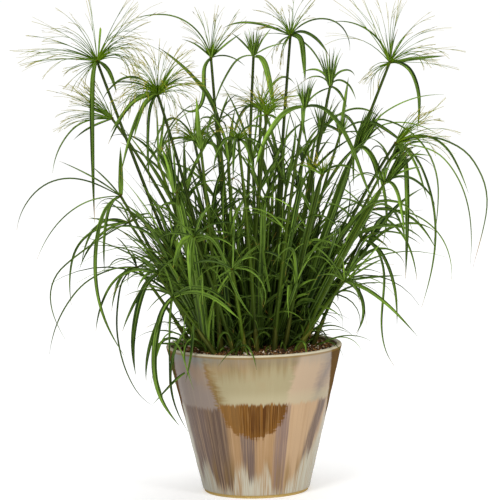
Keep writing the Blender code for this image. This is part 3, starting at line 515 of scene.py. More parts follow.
# The low clumps of leaves at the soil, between the stems: centre, and shares of leafy shoots and young stems
Clump = namedtuple("Clump", "name centre shoots young")
CLUMPS = (
    Clump("left", metres((-58, 8)), 1.5, 1.0),
    Clump("middle", metres((-6, 40)), 0.8, 0.4),
    Clump("front", metres((6, 16)), 0.8, 0.4),
    Clump("right", metres((52, 36)), 1.3, 0.5),
    Clump("back", metres((20, 84)), 1.0, 0.6),
)

# Leaves of the crown that lie over the mix or hang over the lip, each from a place on or above the mix
Loose = namedtuple("Loose", "start azimuth length width slopes roll shade dry", defaults=(0.0,))
LOOSE = (
    ((-78, -85, 252), 350, 214, 9, (97, 86, 78, 62, 50, 42, 34), 20, 0.95),
    ((-70, -80, 252), 10, 190, 7.6, (94, 88, 84, 80, 70), 20, 0.55),
    ((16, -46, 252), 190, 140, 7.6, (60, 80, 74, 64), 20, 0.70),
    ((37, -66, 374), 350, 71, 6.8, (24, -40, -92, -98, -100), 20, 0.75),
    ((56, -58, 382), 350, 58, 5.4, (24, -36, -62, -70), 20, 0.25),
    ((-23, -90, 345), 355, 52, 3, (24, 6, -8, -24), 30, 0.80),
    ((12, -70, 288), 355, 30, 3.2, (24, 0, -30), 30, 0.80),
    ((29, -90, 356), 180, 193, 8.4, (80, 83, 86, 90, 94), 20, 0.70),
    ((46, -34, 252), 20, 250, 8, (84, 80, 74, 66, 60), 20, 0.60),
    ((62, -22, 252), 0, 300, 7, (70, 66, 60, 54, 46), 20, 0.80),
    ((-111.5, -128, 302), 190, 191, 6.4, (-50, -66, -84, -98, -112, -122), 40, 0.12),
    ((-101, -126, 308), 184, 100, 7.4, (-84, -85, -78, -76), 40, 0.30),
    ((-117.5, -137, 227), 180, 76, 6.8, (-30, -46, -48, -48), 30, 0.35),
    ((-137, -132, 282), 350, 92, 3.2, (-40, -74, -74, -70), 30, 0.90),
    ((-116, -70, 262), 196, 150, 5.8, (58, 6, -66, -92, -104, -112), 40, 0.25),
    ((-104, -86, 258), 232, 128, 4.2, (70, 22, -70, -94, -100), 30, 0.35),
    ((-112, -60, 262), 222, 150, 3, (64, 20, -60, -72, -76), 30, 0.85),
    ((-80, -92, 256), 214, 118, 5, (66, 30, -72, -104, -128), 60, 0.55),
    ((-120, -30, 256), 186, 62, 6, (18, 4, -8), 50, 0.45), ((-60, -80, 254), 176, 72, 6.6, (30, 6, -12), 30, 0.55),
    ((-30, -86, 254), 300, 66, 4.4, (62, 10, -62, -80), 30, 0.75),
    ((-32, -116, 251), 309, 88, 4.6, (74, 32, -28, -64, -76), 30, 0.30),
    ((70, -78, 254), 306, 62, 5, (72, 30, -76, -90), 20, 0.85),
    ((54, -90, 254), 256, 50, 4.2, (64, 20, -60), 30, 0.60),
    ((112, -40, 256), 350, 94, 3.4, (34, 16, -4, -30), 30, 0.60),
    ((118, -20, 256), 10, 80, 3.4, (30, 10, -30, -70), 30, 0.70),
    ((104, -60, 256), 330, 70, 3, (44, 8, -40, -72), 30, 0.55),
    ((-46, -96, 254), 250, 40, 4.2, (54, 6, -40), 30, 0.65),
    ((20, -100, 254), 280, 46, 3.6, (60, 10, -44), 30, 0.50),
    ((-52, 84, 533), 340, 62, 2.2, (12, 4, -14, -50, -100, -165), 30, 0.50, 1.0),
)

# Stalks wrapped in blades that stand as one, from the mix to where they part or were cut: foot, top, radius,
# shade, and how many leaves go on from the top
Stalk = namedtuple("Stalk", "foot top radius shade leaves")
STALKS = (
    ((-78, -78), (-98.5, -105, 447), 6.6, 0.38, 0), ((10, -30), (21, -120, 520), 5.2, 0.40, 0),
    ((-50, 90), (-90, 150, 430), 5.6, 0.40, 0), ((-80, -40), (-126, -121, 540), 7.8, 0.22, 0),
    ((-70, -20), (-150, -70, 425), 6.2, 0.30, 5), ((-58, -4), (-104, -30, 500), 5.8, 0.18, 5),
    ((-40, -36), (-50, -80, 420), 5.2, 0.16, 5), ((30, -22), (86, -170, 560), 4.8, 0.30, 0),
    ((66, 4), (172, -19, 575), 7.4, 0.24, 0), ((74, -12), (221, -118, 534), 6.6, 0.28, 0),
    ((50, -8), (116, -166, 552), 5.2, 0.22, 0), ((60, 6), (150, -90, 450), 6.6, 0.12, 5),
    ((44, 18), (110, -50, 500), 6, 0.08, 5), ((78, 12), (200, -40, 430), 6.2, 0.16, 5),
    ((36, -26), (80, -110, 390), 5.4, 0.20, 5),
)

# Where small fans of fine leaves come up through the mix, in front of the stalks
LOW_FANS = (
    (-92, -48), (-64, -84), (-36, -88), (-16, -70), (6, -60), (34, -50), (58, -40), (84, -30),
)


# ---------------------------------------------------------------- node helpers

class Value:
    """A number, vector or colour in a node tree. Sums of it make the nodes that work them out."""

    def __init__(self, graph, socket):
        self.graph, self.socket = graph, socket

    def __add__(self, other):
        return self.graph.math("ADD", self, other)

    def __sub__(self, other):
        return self.graph.math("SUBTRACT", self, other)

    def __rsub__(self, other):
        return self.graph.math("SUBTRACT", other, self)

    def __mul__(self, other):
        return self.graph.math("MULTIPLY", self, other)

    def __abs__(self):
        return self.graph.math("ABSOLUTE", self)

    def step(self, low, high):
        """0 below low, 1 above high, and smooth between."""
        inputs = {"Value": self, "From Min": low, "From Max": high}
        return self.graph.node("ShaderNodeMapRange", inputs, interpolation_type="SMOOTHSTEP")


class Graph:
    """A few short words for building a node tree."""

    def __init__(self, tree):
        self.tree = tree

    def feed(self, node, inputs):
        """Links values to a node's inputs, by name or number, and sets plain numbers and colours on them."""
        for key, value in inputs.items():
            socket = node.inputs[key]
            if isinstance(value, Value):
                self.tree.links.new(value.socket, socket)
            else:
                socket.default_value = (*value, 1.0) if socket.type == "RGBA" else value

    def add(self, kind, inputs=None, **settings):
        """A new node with its settings and inputs."""
        made = self.tree.nodes.new(kind)
        for key, value in settings.items():
            setattr(made, key, value)
        self.feed(made, inputs or {})
        return made

    def outputs(self, kind, inputs=None, **settings):
        """All the outputs of a new node."""
        return [Value(self, socket) for socket in self.add(kind, inputs, **settings).outputs]

    def node(self, kind, inputs=None, output=0, **settings):
        """One output of a new node, by name or number."""
        return Value(self, self.add(kind, inputs, **settings).outputs[output])

    def math(self, operation, *inputs, clamp=False):
        return self.node("ShaderNodeMath", dict(enumerate(inputs)), operation=operation, use_clamp=clamp)

    def vector_math(self, operation, *inputs, output=0):
        return self.node("ShaderNodeVectorMath", dict(enumerate(inputs)), output, operation=operation)

    def split(self, vector):
        return self.outputs("ShaderNodeSeparateXYZ", {0: vector})

    def join(self, x, y, z):
        return self.node("ShaderNodeCombineXYZ", {0: x, 1: y, 2: z})

    def place(self):
        """Where a point is on its own object."""
        return self.node("ShaderNodeTexCoord", output="Object")

    def length(self, vector):
        return self.vector_math("LENGTH", vector, output="Value")

    def field(self, name):
        """One of a mesh's own numbers."""
        return self.node("ShaderNodeAttribute", output="Fac", attribute_name=name)

    def across_and_along(self):
        """A blade's own U and V."""
        return self.split(self.node("ShaderNodeUVMap", uv_map="along"))[:2]

    def mix(self, factor, a, b):
        """A blend of two colours. A mix node's colours are its inputs 6 and 7 and its output 2."""
        return self.node("ShaderNodeMix", {0: factor, 6: a, 7: b}, 2, data_type="RGBA")

    def noise(self, vector, scale, detail=3.0, roughness=0.55):
        inputs = {"Vector": vector, "Scale": scale, "Detail": detail, "Roughness": roughness}
        return self.node("ShaderNodeTexNoise", inputs)

    def bump(self, height, strength, distance):
        return self.node("ShaderNodeBump", {"Height": height, "Strength": strength, "Distance": distance})

    def ramp(self, value, stops):
        """Colours joined by straight lines, as (position, colour)."""
        made = self.node("ShaderNodeValToRGB", {"Fac": value})
        ramp = made.socket.node.color_ramp
        ramp.interpolation = "LINEAR"
        for position, _ in stops[1:-1]:
            ramp.elements.new(position)
        ramp.elements[0].position, ramp.elements[-1].position = stops[0][0], stops[-1][0]
        for element, (_, colour) in zip(ramp.elements, stops):
            element.color = (*colour, 1.0)
        return made

    def curve(self, value, points):
        """A curve of one number against another through given points, both from 0 to 1."""
        made = self.node("ShaderNodeFloatCurve", {"Value": value})
        mapping = made.socket.node.mapping
        curve = mapping.curves[0]
        curve.points[0].location, curve.points[1].location = points[0], points[-1]
        for point in points[1:-1]:
            curve.points.new(*point)
        mapping.update()
        return made

    def group(self, name, results, defaults, **inputs):
        """The outputs of a shared node group, by name. The group is made the first time it is called for."""
        group = bpy.data.node_groups.get(name) or new_group(name, results, defaults)
        made = self.outputs("ShaderNodeGroup", inputs, node_tree=group)
        return {value.socket.name: value for value in made}


def new_group(name, results, defaults):
    """A node group whose inputs have these defaults, and whose outputs are what `results(graph, inputs)` makes."""
    group = bpy.data.node_groups.new(name, "ShaderNodeTree")
    for label, default in defaults.items():
        kind = "NodeSocketColor" if np.ndim(default) else "NodeSocketFloat"
        socket = group.interface.new_socket(label, in_out="INPUT", socket_type=kind)
        socket.default_value = (*default, 1.0) if np.ndim(default) else default
    inner = Graph(group)
    made = results(inner, dict(zip(defaults, inner.outputs("NodeGroupInput"))))
    for label, value in made.items():
        kind = "NodeSocketColor" if value.socket.type == "RGBA" else "NodeSocketFloat"
        group.interface.new_socket(label, in_out="OUTPUT", socket_type=kind)
    inner.feed(group.nodes.new("NodeGroupOutput"), made)
    return group


def new_material(name):
    """A Principled material, with its graph and shader."""
    material = bpy.data.materials.new(name)
    material.use_nodes = True
    return material, Graph(material.node_tree), material.node_tree.nodes["Principled BSDF"]


def srgb(code):
    """A linear colour from a six-digit screen colour."""
    channels = [int(code[i:i + 2], 16) / 255.0 for i in (0, 2, 4)]
    return tuple(c / 12.92 if c <= 0.04045 else ((c + 0.055) / 1.055) ** 2.4 for c in channels)


# ---------------------------------------------------------------- finishes

FIBRES = {"Veins": 7.0, "Grain": 60.0}
GREENS = {"Deep": (0.02, 0.05, 0.01), "Bright": (0.2, 0.35, 0.05), "Straw": (0.46, 0.33, 0.09),
          "Dry tip": (0.3, 0.16, 0.05), "Midrib": 0.3, "Stripes": 0.5}
# Where the growth is painted dark, as painted shade low among the stems, in metres: out to these radii, and up to
# these heights
SHADED_RADII = (0.065, 0.15)
SHADED_HEIGHTS = (0.27, 0.46)


def fibres(g, given):
    """Lengthwise veins of a leaf or stem: a mask and a height, from its U across and V along."""
    u, v = g.across_and_along()
    veins = g.math("SINE", u * (given["Veins"] * (2 * math.pi))) * 0.5 + 0.5
    grain = g.noise(g.join(u, v * 0.12, 0.0), given["Grain"], 2.0, 0.6)
    return {"Mask": veins * 0.5 + grain * 0.5, "Height": veins}


def plant_colour(g, given):
    """Green of one blade or stem, dried at the tip.

    Shade picks a green between deep and bright, and a slow noise and lengthwise stripes move it; the stripes are
    partly the leaf's own banding and partly painted highlights. The midrib is paler, one half of the folded blade is
    painted deeper as painted shade, and the last Dry share of V turns to straw and then brown, with a ragged edge.
    What grows low down among the stems is painted nearly black, as painted shade.
    """
    u, v = g.across_and_along()
    shade, dry = g.field("shade"), g.field("dry")
    place = g.place()
    # the lengthwise stripes are partly the leaf's own banding and partly painted highlights
    stripes = g.noise(g.join(u * 4.0, v * 2.0, shade * 60.0), 1.0, 2.0, 0.6).step(0.40, 0.60) - 0.5
    patches = (g.noise(place, 38.0, 3.0) - 0.5) * 0.50
    green = g.mix(g.math("MULTIPLY_ADD", stripes, given["Stripes"], shade + patches, clamp=True),
                  given["Deep"], given["Bright"])
    rib = (1 - abs(u - 0.5).step(0.02, 0.16)) * given["Midrib"]
    green = g.mix(rib, green, g.mix(0.35, given["Bright"], (0.42, 0.52, 0.24)))
    # painted shade: one half of the folded blade is darkened towards the deep green
    green = g.mix(u.step(0.46, 0.54) * given["Midrib"], green, given["Deep"])
    # painted shade: low down and near the plant's middle, the green is darkened nearly to black
    out = g.length(g.vector_math("MULTIPLY", place, (1.0, 1.0, 0.0)))
    inner = (1 - out.step(*SHADED_RADII)) * (1 - g.split(place)[2].step(*SHADED_HEIGHTS))
    green = g.mix(inner * 0.57, green, (0.006, 0.012, 0.001))
    past = v - 0.05 + g.noise(place, 220.0, 2.0) * 0.10 - (1 - dry)
    dryness = past.step(-0.06, 0.05) * dry.step(0.0, 0.02)
    straw = g.mix(past.step(0.0, 0.16), given["Straw"], given["Dry tip"])
    return {"Colour": g.mix(dryness, green, straw), "Dryness": dryness}


def plant_material(name, deep, bright, straw, dry_tip, midrib, roughness, veins, grain, bump, gloss):
    """A satin plant skin with lengthwise veins, from the two shared groups."""
    material, g, shader = new_material(name)
    colours = g.group("papyrus plant colour", plant_colour, GREENS, Deep=deep, Bright=bright, Straw=straw,
                      Midrib=midrib, Stripes=1.5 * midrib, **{"Dry tip": dry_tip})
    veined = g.group("papyrus fibres", fibres, FIBRES, Veins=veins, Grain=grain)
    g.feed(shader, {
        "Base Color": g.mix(veined["Mask"] * 0.30, colours["Colour"], (0.012, 0.026, 0.004)),
        "Roughness": colours["Dryness"] * 0.30 + roughness + veined["Mask"] * 0.12,
        "Specular IOR Level": gloss,
        "Normal": g.bump(veined["Height"], bump, 0.0004),
    })
    return material


LEAF, THREAD, SPIKELET, STEM, SHEATH = range(5)


def leaf_materials(plant):
    """The materials of a leafy piece, in order: leaf, thread, spikelet, stem and sheath."""
    names = ("leaf skin", "ray thread", "spikelet brown", "stem skin", "sheath skin")
    if names[0] not in bpy.data.materials:
        straw = srgb("b8953f")
        plant_material(names[0], plant.leaf_deep, plant.leaf_bright, straw, srgb("8a5a26"),
                       0.45, 0.36, 5.0, 40.0, 0.35, 0.11)
        plant_material(names[1], srgb("466a10"), srgb("7c9a20"), srgb("989e20"), srgb("b4ac44"),
                       0.0, 0.60, 2.0, 20.0, 0.0, 0.0)
        plant_material(names[2], srgb("5c4c16"), srgb("8e8c2a"), straw, srgb("6b531f"),
                       0.0, 0.60, 2.0, 20.0, 0.0, 0.0)
        plant_material(names[3], plant.stem_deep, plant.stem_bright, straw, srgb("6b4a2a"),
                       0.20, 0.40, 9.0, 60.0, 0.45, 0.10)
        plant_material(names[4], srgb("26330a"), srgb("86822f"), straw, srgb("6b4a26"),
                       0.20, 0.55, 7.0, 60.0, 0.5, 0.06)
    return [bpy.data.materials[name] for name in names]


# The potter's glazes
GLAZES = {
    "lilac": "94857b", "honey": "866a3a", "cream": "a89c79", "blush": "bda58a", "hem": "bfb493",
    "halo": "868d8a", "mauve": "726058", "fawn": "8e776b", "taupe": "6a574b", "tan": "ad8b64",
    "peach": "c3a481", "celadon": "c9c5b3", "umber": "4a2a10", "bark": "62461f", "amber": "57340f",
    "light amber": "8a5e26", "straw": "9a7340", "lip": "d6ccb0", "gold": "8e7038",
}

# Round the pot, from the back by the left to the front and on by the right: the glazes of the upper band and of
# the brushed zone, and how far down the brush strokes reach. An angle is in degrees from the front.
BAND = (
    (-180, "cream"), (-148, "cream"), (-132, "lilac"), (-38, "lilac"), (-35, "honey"), (-27, "cream"),
    (27, "cream"), (31, "blush"), (52, "blush"), (64, "lilac"), (76, "blush"), (116, "blush"), (128, "cream"),
    (180, "cream"),
)
# The celadon strips of the strokes, from 93 to 73 degrees left and 76 to 92 degrees right of the front, are partly
# the pale glaze and partly painted highlights, where soft lights shine on the glaze
STROKES = (
    (-180, "mauve"), (-152, "taupe"), (-136, "tan"), (-120, "mauve"), (-105, "tan"), (-93, "celadon"),
    (-73, "celadon"), (-66, "mauve"), (-44, "mauve"), (-40, "taupe"), (-24, "taupe"), (-20, "tan"), (-14, "tan"),
    (-11, "mauve"), (-3, "mauve"), (1, "tan"), (15, "tan"), (18, "fawn"), (26, "fawn"), (29, "peach"),
    (48, "peach"), (52, "mauve"), (60, "mauve"), (64, "peach"), (76, "celadon"), (92, "celadon"), (112, "mauve"),
    (130, "tan"), (150, "taupe"), (168, "tan"), (180, "mauve"),
)
REACH = (
    (-180, 0.20), (-150, 0.10), (-120, 0.30), (-95, 0.22), (-80, 0.14), (-68, 0.10), (-60, 0.20), (-50, 0.20),
    (-43, 0.06), (-25, 0.06), (-20, 0.20), (-11, 0.22), (-5, 0.14), (4, 0.15), (8, 0.22), (14, 0.15), (19, 0.04),
    (29, 0.04), (34, 0.12), (42, 0.14), (48, 0.26), (58, 0.30), (66, 0.38), (80, 0.42), (100, 0.30), (130, 0.12),
    (155, 0.25), (180, 0.20),
)
# How much faster the band's fields turn near the hem than at the lip
BAND_OPENING = 0.72


def glaze(name):
    return srgb(GLAZES[name])


def turned_share(degrees):
    return degrees / 360.0 + 0.5


def glazed(g, base, *washes):
    """A colour under washes of glaze, each a mask and the name of its glaze."""
    for mask, name in washes:
        base = g.mix(mask, base, glaze(name))
    return base


def ramp_round(g, angle, table):
    """The glazes of a table round the pot at an angle."""
    return g.ramp(angle, [(turned_share(a), glaze(name)) for a, name in table])


# The brush marks: how fine each noise is across and down the wall, its detail and its roughness
Marks = namedtuple("Marks", "hair fine broad clouds comb angle height")
NOISES = {
    "Hair": (75.0, 6.0, 2.0, 0.6), "Fine": (34.0, 7.0, 3.0, 0.65), "Broad": (9.0, 4.0, 3.0, 0.6),
    "Clouds": (2.6, 16.0, 3.0, 0.55), "Comb": (7.0, 260.0, 2.0, 0.6),
}


def brush_marks(g, given):
    """Brush marks on a round pot: noises of the direction from its axis, stretched down its height, and one
    stretched round it, the comb.

    Angle is 0 at the back, 0.5 at the front and 1 at the back again. Height is 0 to 1 up the pot.
    """
    place = g.place()
    x, y, z = g.split(place)
    flat = g.vector_math("NORMALIZE", g.vector_math("MULTIPLY", place, (1.0, 1.0, 0.0)))
    wall = g.vector_math("ADD", flat, g.join(0.0, 0.0, z))
    made = {}
    for label, (across, down, detail, roughness) in NOISES.items():
        made[label] = g.noise(g.vector_math("MULTIPLY", wall, (across, across, down)), 1.0, detail, roughness)
    made["Angle"] = g.math("ARCTAN2", x, y * -1.0) * (0.5 / math.pi) + 0.5
    made["Height"] = g.math("DIVIDE", z, given["Pot height"])
    return made


def upper_band(g, m):
    """The smooth glaze above the brush strokes: broad fields with combed edges that close in on the front
    towards the hem, honey runs under the lip, a pale hem and a grey halo round the top."""
    spread = (0.968 - m.height) * BAND_OPENING + 1.0
    round_to = (m.angle - 0.5) * spread + 0.5
    front = 1 - abs(round_to - 0.498).step(0.080, 0.094)
    runs = (m.broad * 0.34 + (m.fine * 0.14 + m.height)).step(1.05, 1.24) * front
    hem = m.angle.step(0.42, 0.46) * (1 - m.height.step(0.68, 0.77))
    left = 0.80 - m.angle.step(0.38, 0.46) * 0.45
    return glazed(
        g, ramp_round(g, round_to + (m.comb * 0.030 + m.clouds * 0.030 - 0.030), BAND),
        (runs * 0.85, "honey"),
        (m.clouds.step(0.52, 0.70) * m.height.step(0.70, 0.86) * 0.35, "tan"),
        (hem * 0.55, "hem"),
        (m.fine.step(0.50, 0.75) * 0.16, "hem"),
        ((m.height + m.broad * 0.14 + m.fine * 0.05).step(0.98, 1.09) * left, "halo"),
    )


def brushed_zone(g, m):
    """The brush strokes below the band: glazes that change round the pot by strokes, each with hair-fine light
    and dark lines, and ragged ends over pale celadon."""
    right = m.angle.step(turned_share(42), turned_share(50))
    slant = (13.0 / 360.0 - m.height * (31.0 / 360.0)) * right
    streaked = m.angle.step(turned_share(-42), turned_share(-22)) * 0.30 + 0.15
    ends = m.broad.step(0.44, 0.60) * (1 - m.height.step(0.16, 0.34))
    strokes = glazed(
        g, ramp_round(g, m.angle + slant + (m.fine - 0.5) * 0.036, STROKES),
        (m.broad.step(0.50, 0.70) * streaked, "tan"),
        (m.fine.step(0.54, 0.64) * 0.30, "peach"),
        (m.hair.step(0.48, 0.68) * (streaked * 0.40 + 0.14), "peach"),
        ((1 - m.hair.step(0.34, 0.48)) * 0.11, "umber"),
        (ends * 0.55, "honey"),
    )
    centre = 1 - abs(m.angle - 0.5).step(0.10, 0.17)
    pale = glazed(
        g, glaze("celadon"),
        (m.hair.step(0.52, 0.70) * 0.35, "hem"),
        (m.fine.step(0.46, 0.62) * (centre * 0.30 + 0.55), "tan"),
        ((1 - m.angle.step(0.32, 0.42)) * 0.35, "halo"),
    )
    reach = g.curve(m.angle, [(turned_share(a), share) for a, share in REACH])
    ragged = (m.hair - 0.5) * 0.16 + (m.fine - 0.5) * 0.30
    return g.mix((m.height - (reach + ragged)).step(-0.05, 0.05), pale, strokes)


def amber_patch(g, m, hem, body):
    """A half disc of dark amber hung from the hem at the front, lighter on its left, with feathered strokes."""
    half, drop, top = 27.0, 0.235, 0.655
    across = (m.angle - turned_share(-1.5)) * (360.0 / half)
    down = (top - m.height) * (1.0 / drop)
    disc = g.math("SQRT", across * across + down * down)
    feather = (m.fine - 0.5) * 0.30 + (m.hair - 0.5) * 0.24 + (m.comb - 0.5) * 0.30
    patch = (1 - (disc + feather).step(0.93, 1.03)) * (1 - hem.step(0.648, 0.668))
    left = 1 - (m.fine * 0.2 + across).step(-0.38, -0.20)
    amber = glazed(
        g, g.mix(m.hair.step(0.42, 0.66), glaze("amber"), glaze("light amber")),
        (m.fine.step(0.55, 0.68) * 0.80, "straw"),
        (left * 0.50, "straw"),
        (disc.step(0.70, 0.95) * 0.30, "light amber"),
    )
    return g.mix(patch, body, amber)


def edge_slivers(m):
    """A mask of two wedges of dark glaze at the sides, wide under the lip and ending halfway down; the left one
    is the narrower."""
    side = abs(m.angle - 0.5)
    right = m.angle.step(0.45, 0.55)
    inner = m.height * (right * 0.04 + 0.06) + side + (1 - right) * 0.022 + m.comb * 0.008
    outer = side + m.clouds * 0.030 + m.comb * 0.030
    mask = inner.step(0.266, 0.276) * (1 - outer.step(0.292, 0.300))
    return mask * (m.fine * 0.20 + m.height).step(0.56, 0.64)


def glaze_material(pot):
    """The pot's glaze: an upper band over a zone of brush strokes, an amber patch at the front, dark slivers at
    both sides, a gold line at the lip, and bare clay at the foot."""
    material, g, shader = new_material("brushed glaze")
    m = Marks(*g.group("papyrus pot brush marks", brush_marks, {"Pot height": POT_HEIGHT}).values())
    fringe = (0.5 - m.hair) * 0.06 + (0.5 - m.fine) * 0.07
    hem = m.height + fringe + (1 - m.angle.step(0.40, 0.44)) * 0.034
    body = amber_patch(g, m, hem, g.mix(hem.step(0.640, 0.668), brushed_zone(g, m), upper_band(g, m)))
    slivers = edge_slivers(m)
    gold = m.height.step(0.970, 0.979) - m.height.step(0.986, 0.991)
    lip = m.height.step(0.986, 0.992)
    body = glazed(g, body, (slivers * 0.92, "bark"), (gold * 0.65, "gold"), (lip * 0.92, "lip"))
    place = g.place()
    clay = g.mix(g.noise(place, 260.0, 3.0), srgb("d2b97c"), srgb("b2924d"))
    foot = 1 - (m.fine * 0.008 + m.height).step(0.022, 0.028)
    pits = g.noise(place, 900.0, 2.0).step(0.66, 0.74)
    g.feed(shader, {
        "Base Color": g.mix(foot, body, clay),
        "Roughness": m.hair.step(0.3, 0.8) * 0.10 + pot.gloss_roughness + foot * 0.55,
        "Specular IOR Level": 0.0,
        "Coat Weight": (1 - g.math("MAXIMUM", foot, slivers)) * 0.9,
        "Coat IOR": 1.25,
        "Coat Roughness": pot.gloss_roughness,
        "Normal": g.bump(m.hair * 0.6 - pits * 0.5, 0.22, 0.0006),
    })
    return material


def mix_material():
    """Damp potting mix: near-black and brown crumbs by shade, with a fine rough grain."""
    material, g, shader = new_material("potting mix crumbs")
    place = g.place()
    level = g.math("ADD", g.field("shade"), (g.noise(place, 420.0, 4.0) - 0.5) * 0.7, clamp=True)
    colours = {0.0: "24160a", 0.30: "462c10", 0.6: "784c20", 0.8: "ac7c44", 0.93: "d0b084", 1.0: "f0e8d8"}
    g.feed(shader, {
        "Base Color": g.ramp(level, [(share, srgb(code)) for share, code in colours.items()]),
        "Roughness": 0.92,
        "Normal": g.bump(g.noise(place, 900.0, 4.0), 0.7, 0.0012),
    })
    return material


def floor_material(stage):
    """A plain pale matt floor, with a very faint unevenness. To the camera alone it glows, as a lit studio sweep
    does: a little near the pot, and more further away."""
    material, g, shader = new_material("pale floor")
    place = g.place()
    glow = g.length(place).step(0.5, 3.5) * (stage.far_glow - stage.glow) + stage.glow
    g.feed(shader, {
        "Base Color": g.mix(g.noise(place, 0.8, 2.0), stage.floor_colour, [c * 0.995 for c in stage.floor_colour]),
        "Roughness": 0.9,
        "Specular IOR Level": 0.0,
        "Emission Color": (1.0, 1.0, 1.0),
        "Emission Strength": g.node("ShaderNodeLightPath") * glow,
    })
    return material


def studio_world(stage):
    """White surroundings, seen by the camera as pure white."""
    world = bpy.data.worlds.new("studio")
    world.use_nodes = True
    g = Graph(world.node_tree)
    strength = g.node("ShaderNodeLightPath") * (1.0 - stage.sky) + stage.sky
    g.feed(world.node_tree.nodes["Background"], {"Color": (1.0, 1.0, 1.0), "Strength": strength})
    return world


# ---------------------------------------------------------------- the pot and the mix

def outer_radius(z):
    """The pot's outer radius at a height: a straight taper."""
    return BASE_RADIUS + (RIM_RADIUS - BASE_RADIUS) * z / POT_HEIGHT


def turned_surface(bundle, profile, sides, shade, wobble=None):
    """A closed surface of turning: (r cos a, r sin a, z) for the profile's (r, z), which starts and ends on
    the axis. `wobble(a, z)` is added to the radius. Each end closes in a fan round one point."""
    rings = profile[1:-1]
    a = np.linspace(0.0, 2 * math.pi, sides, endpoint=False)
    radius = rings[:, :1] + (wobble(a[None], rings[:, 1:]) if wobble else 0.0 * a)
    grid = np.stack([radius * np.cos(a), radius * np.sin(a), np.broadcast_to(rings[:, 1:], radius.shape)], -1)
    ids = np.arange(len(rings) * sides).reshape(len(rings), sides)
    after = np.roll(ids, -1, axis=1)
    walls = np.stack([ids[:-1], after[:-1], after[1:], ids[1:]], axis=-1).reshape(-1, 4)
    end = np.full(sides, ids.size)
    bottom, top = np.stack([end, after[0], ids[0]], axis=-1), np.stack([ids[-1], after[-1], end + 1], axis=-1)
    points = np.vstack([grid.reshape(-1, 3), [(0.0, 0.0, profile[0, 1]), (0.0, 0.0, profile[-1, 1])]])
    bundle.add(points, [walls, bottom, top], points[:, :2], shade, 0.0, 0)
    return points


def densified(corners, spacing):
    """A polyline's points, with more along each straight run so that none is longer than the spacing."""
    out = [corners[0]]
    for a, b in zip(corners, corners[1:]):
        steps = max(1, math.ceil(math.dist(a, b) / spacing))
        out += [tuple(np.array(a) + (np.array(b) - np.array(a)) * i / steps) for i in range(1, steps + 1)]
    return np.array(out)


def pot_outline():
    """Foot, straight side, rounded lip, inner wall and floor, as (radius, height)."""
    low, high = BASE_RADIUS - FOOT_INSET, POT_HEIGHT - LIP_RADIUS
    edge = SOFT_EDGE
    outline = [(0.0, 0.0), (low - edge, 0.0), (low, edge), (low, FOOT_HEIGHT - edge),
               (low + edge, FOOT_HEIGHT), (outer_radius(FOOT_HEIGHT + edge), FOOT_HEIGHT + 2 * edge)]
    middle = outer_radius(high) - WALL / 2
    for angle in np.linspace(0.0, math.pi, 17):
        outline.append((middle + WALL / 2 * math.cos(angle), high + LIP_RADIUS * math.sin(angle)))
    outline += [(outer_radius(FLOOR_THICKNESS) - WALL, FLOOR_THICKNESS), (0.0, FLOOR_THICKNESS)]
    return densified(outline, OUTLINE_SPACING)


def build_pot(pot):
    """The glazed pot, with the slight unevenness of a hand-thrown wall."""
    bundle = Bundle()

    def wobble(a, z):
        rings = 0.00018 * np.sin(z / POT_HEIGHT * 46.0 + 0.6 * np.sin(a))
        return (rings + 0.00025 * np.sin(2 * a + 1.1) * z / POT_HEIGHT) * np.minimum(1.0, z / 0.02)

    turned_surface(bundle, pot_outline(), pot.sides, 0.5, wobble)
    piece = bundle.mesh("glazed_pot", [glaze_material(pot)], 40.0)
    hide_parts("pot")


def soil_height(x, y):
    """Height of the mix: level, falling to the edge, with a few sines for its lumps."""
    radii = (0.0, SOIL_LEVEL_RADIUS, outer_radius(SOIL_EDGE) - WALL)
    base = np.interp(np.hypot(x, y), radii, (SOIL_CROWN, SOIL_CROWN, SOIL_EDGE))
    lumps = (np.sin(61 * x + 1.3) * np.sin(53 * y + 0.4) + 0.6 * np.sin(131 * x + 2.0) * np.sin(149 * y)
             + 0.4 * np.sin(290 * x) * np.sin(310 * y + 1.0))
    return base + SOIL_LUMPS * lumps


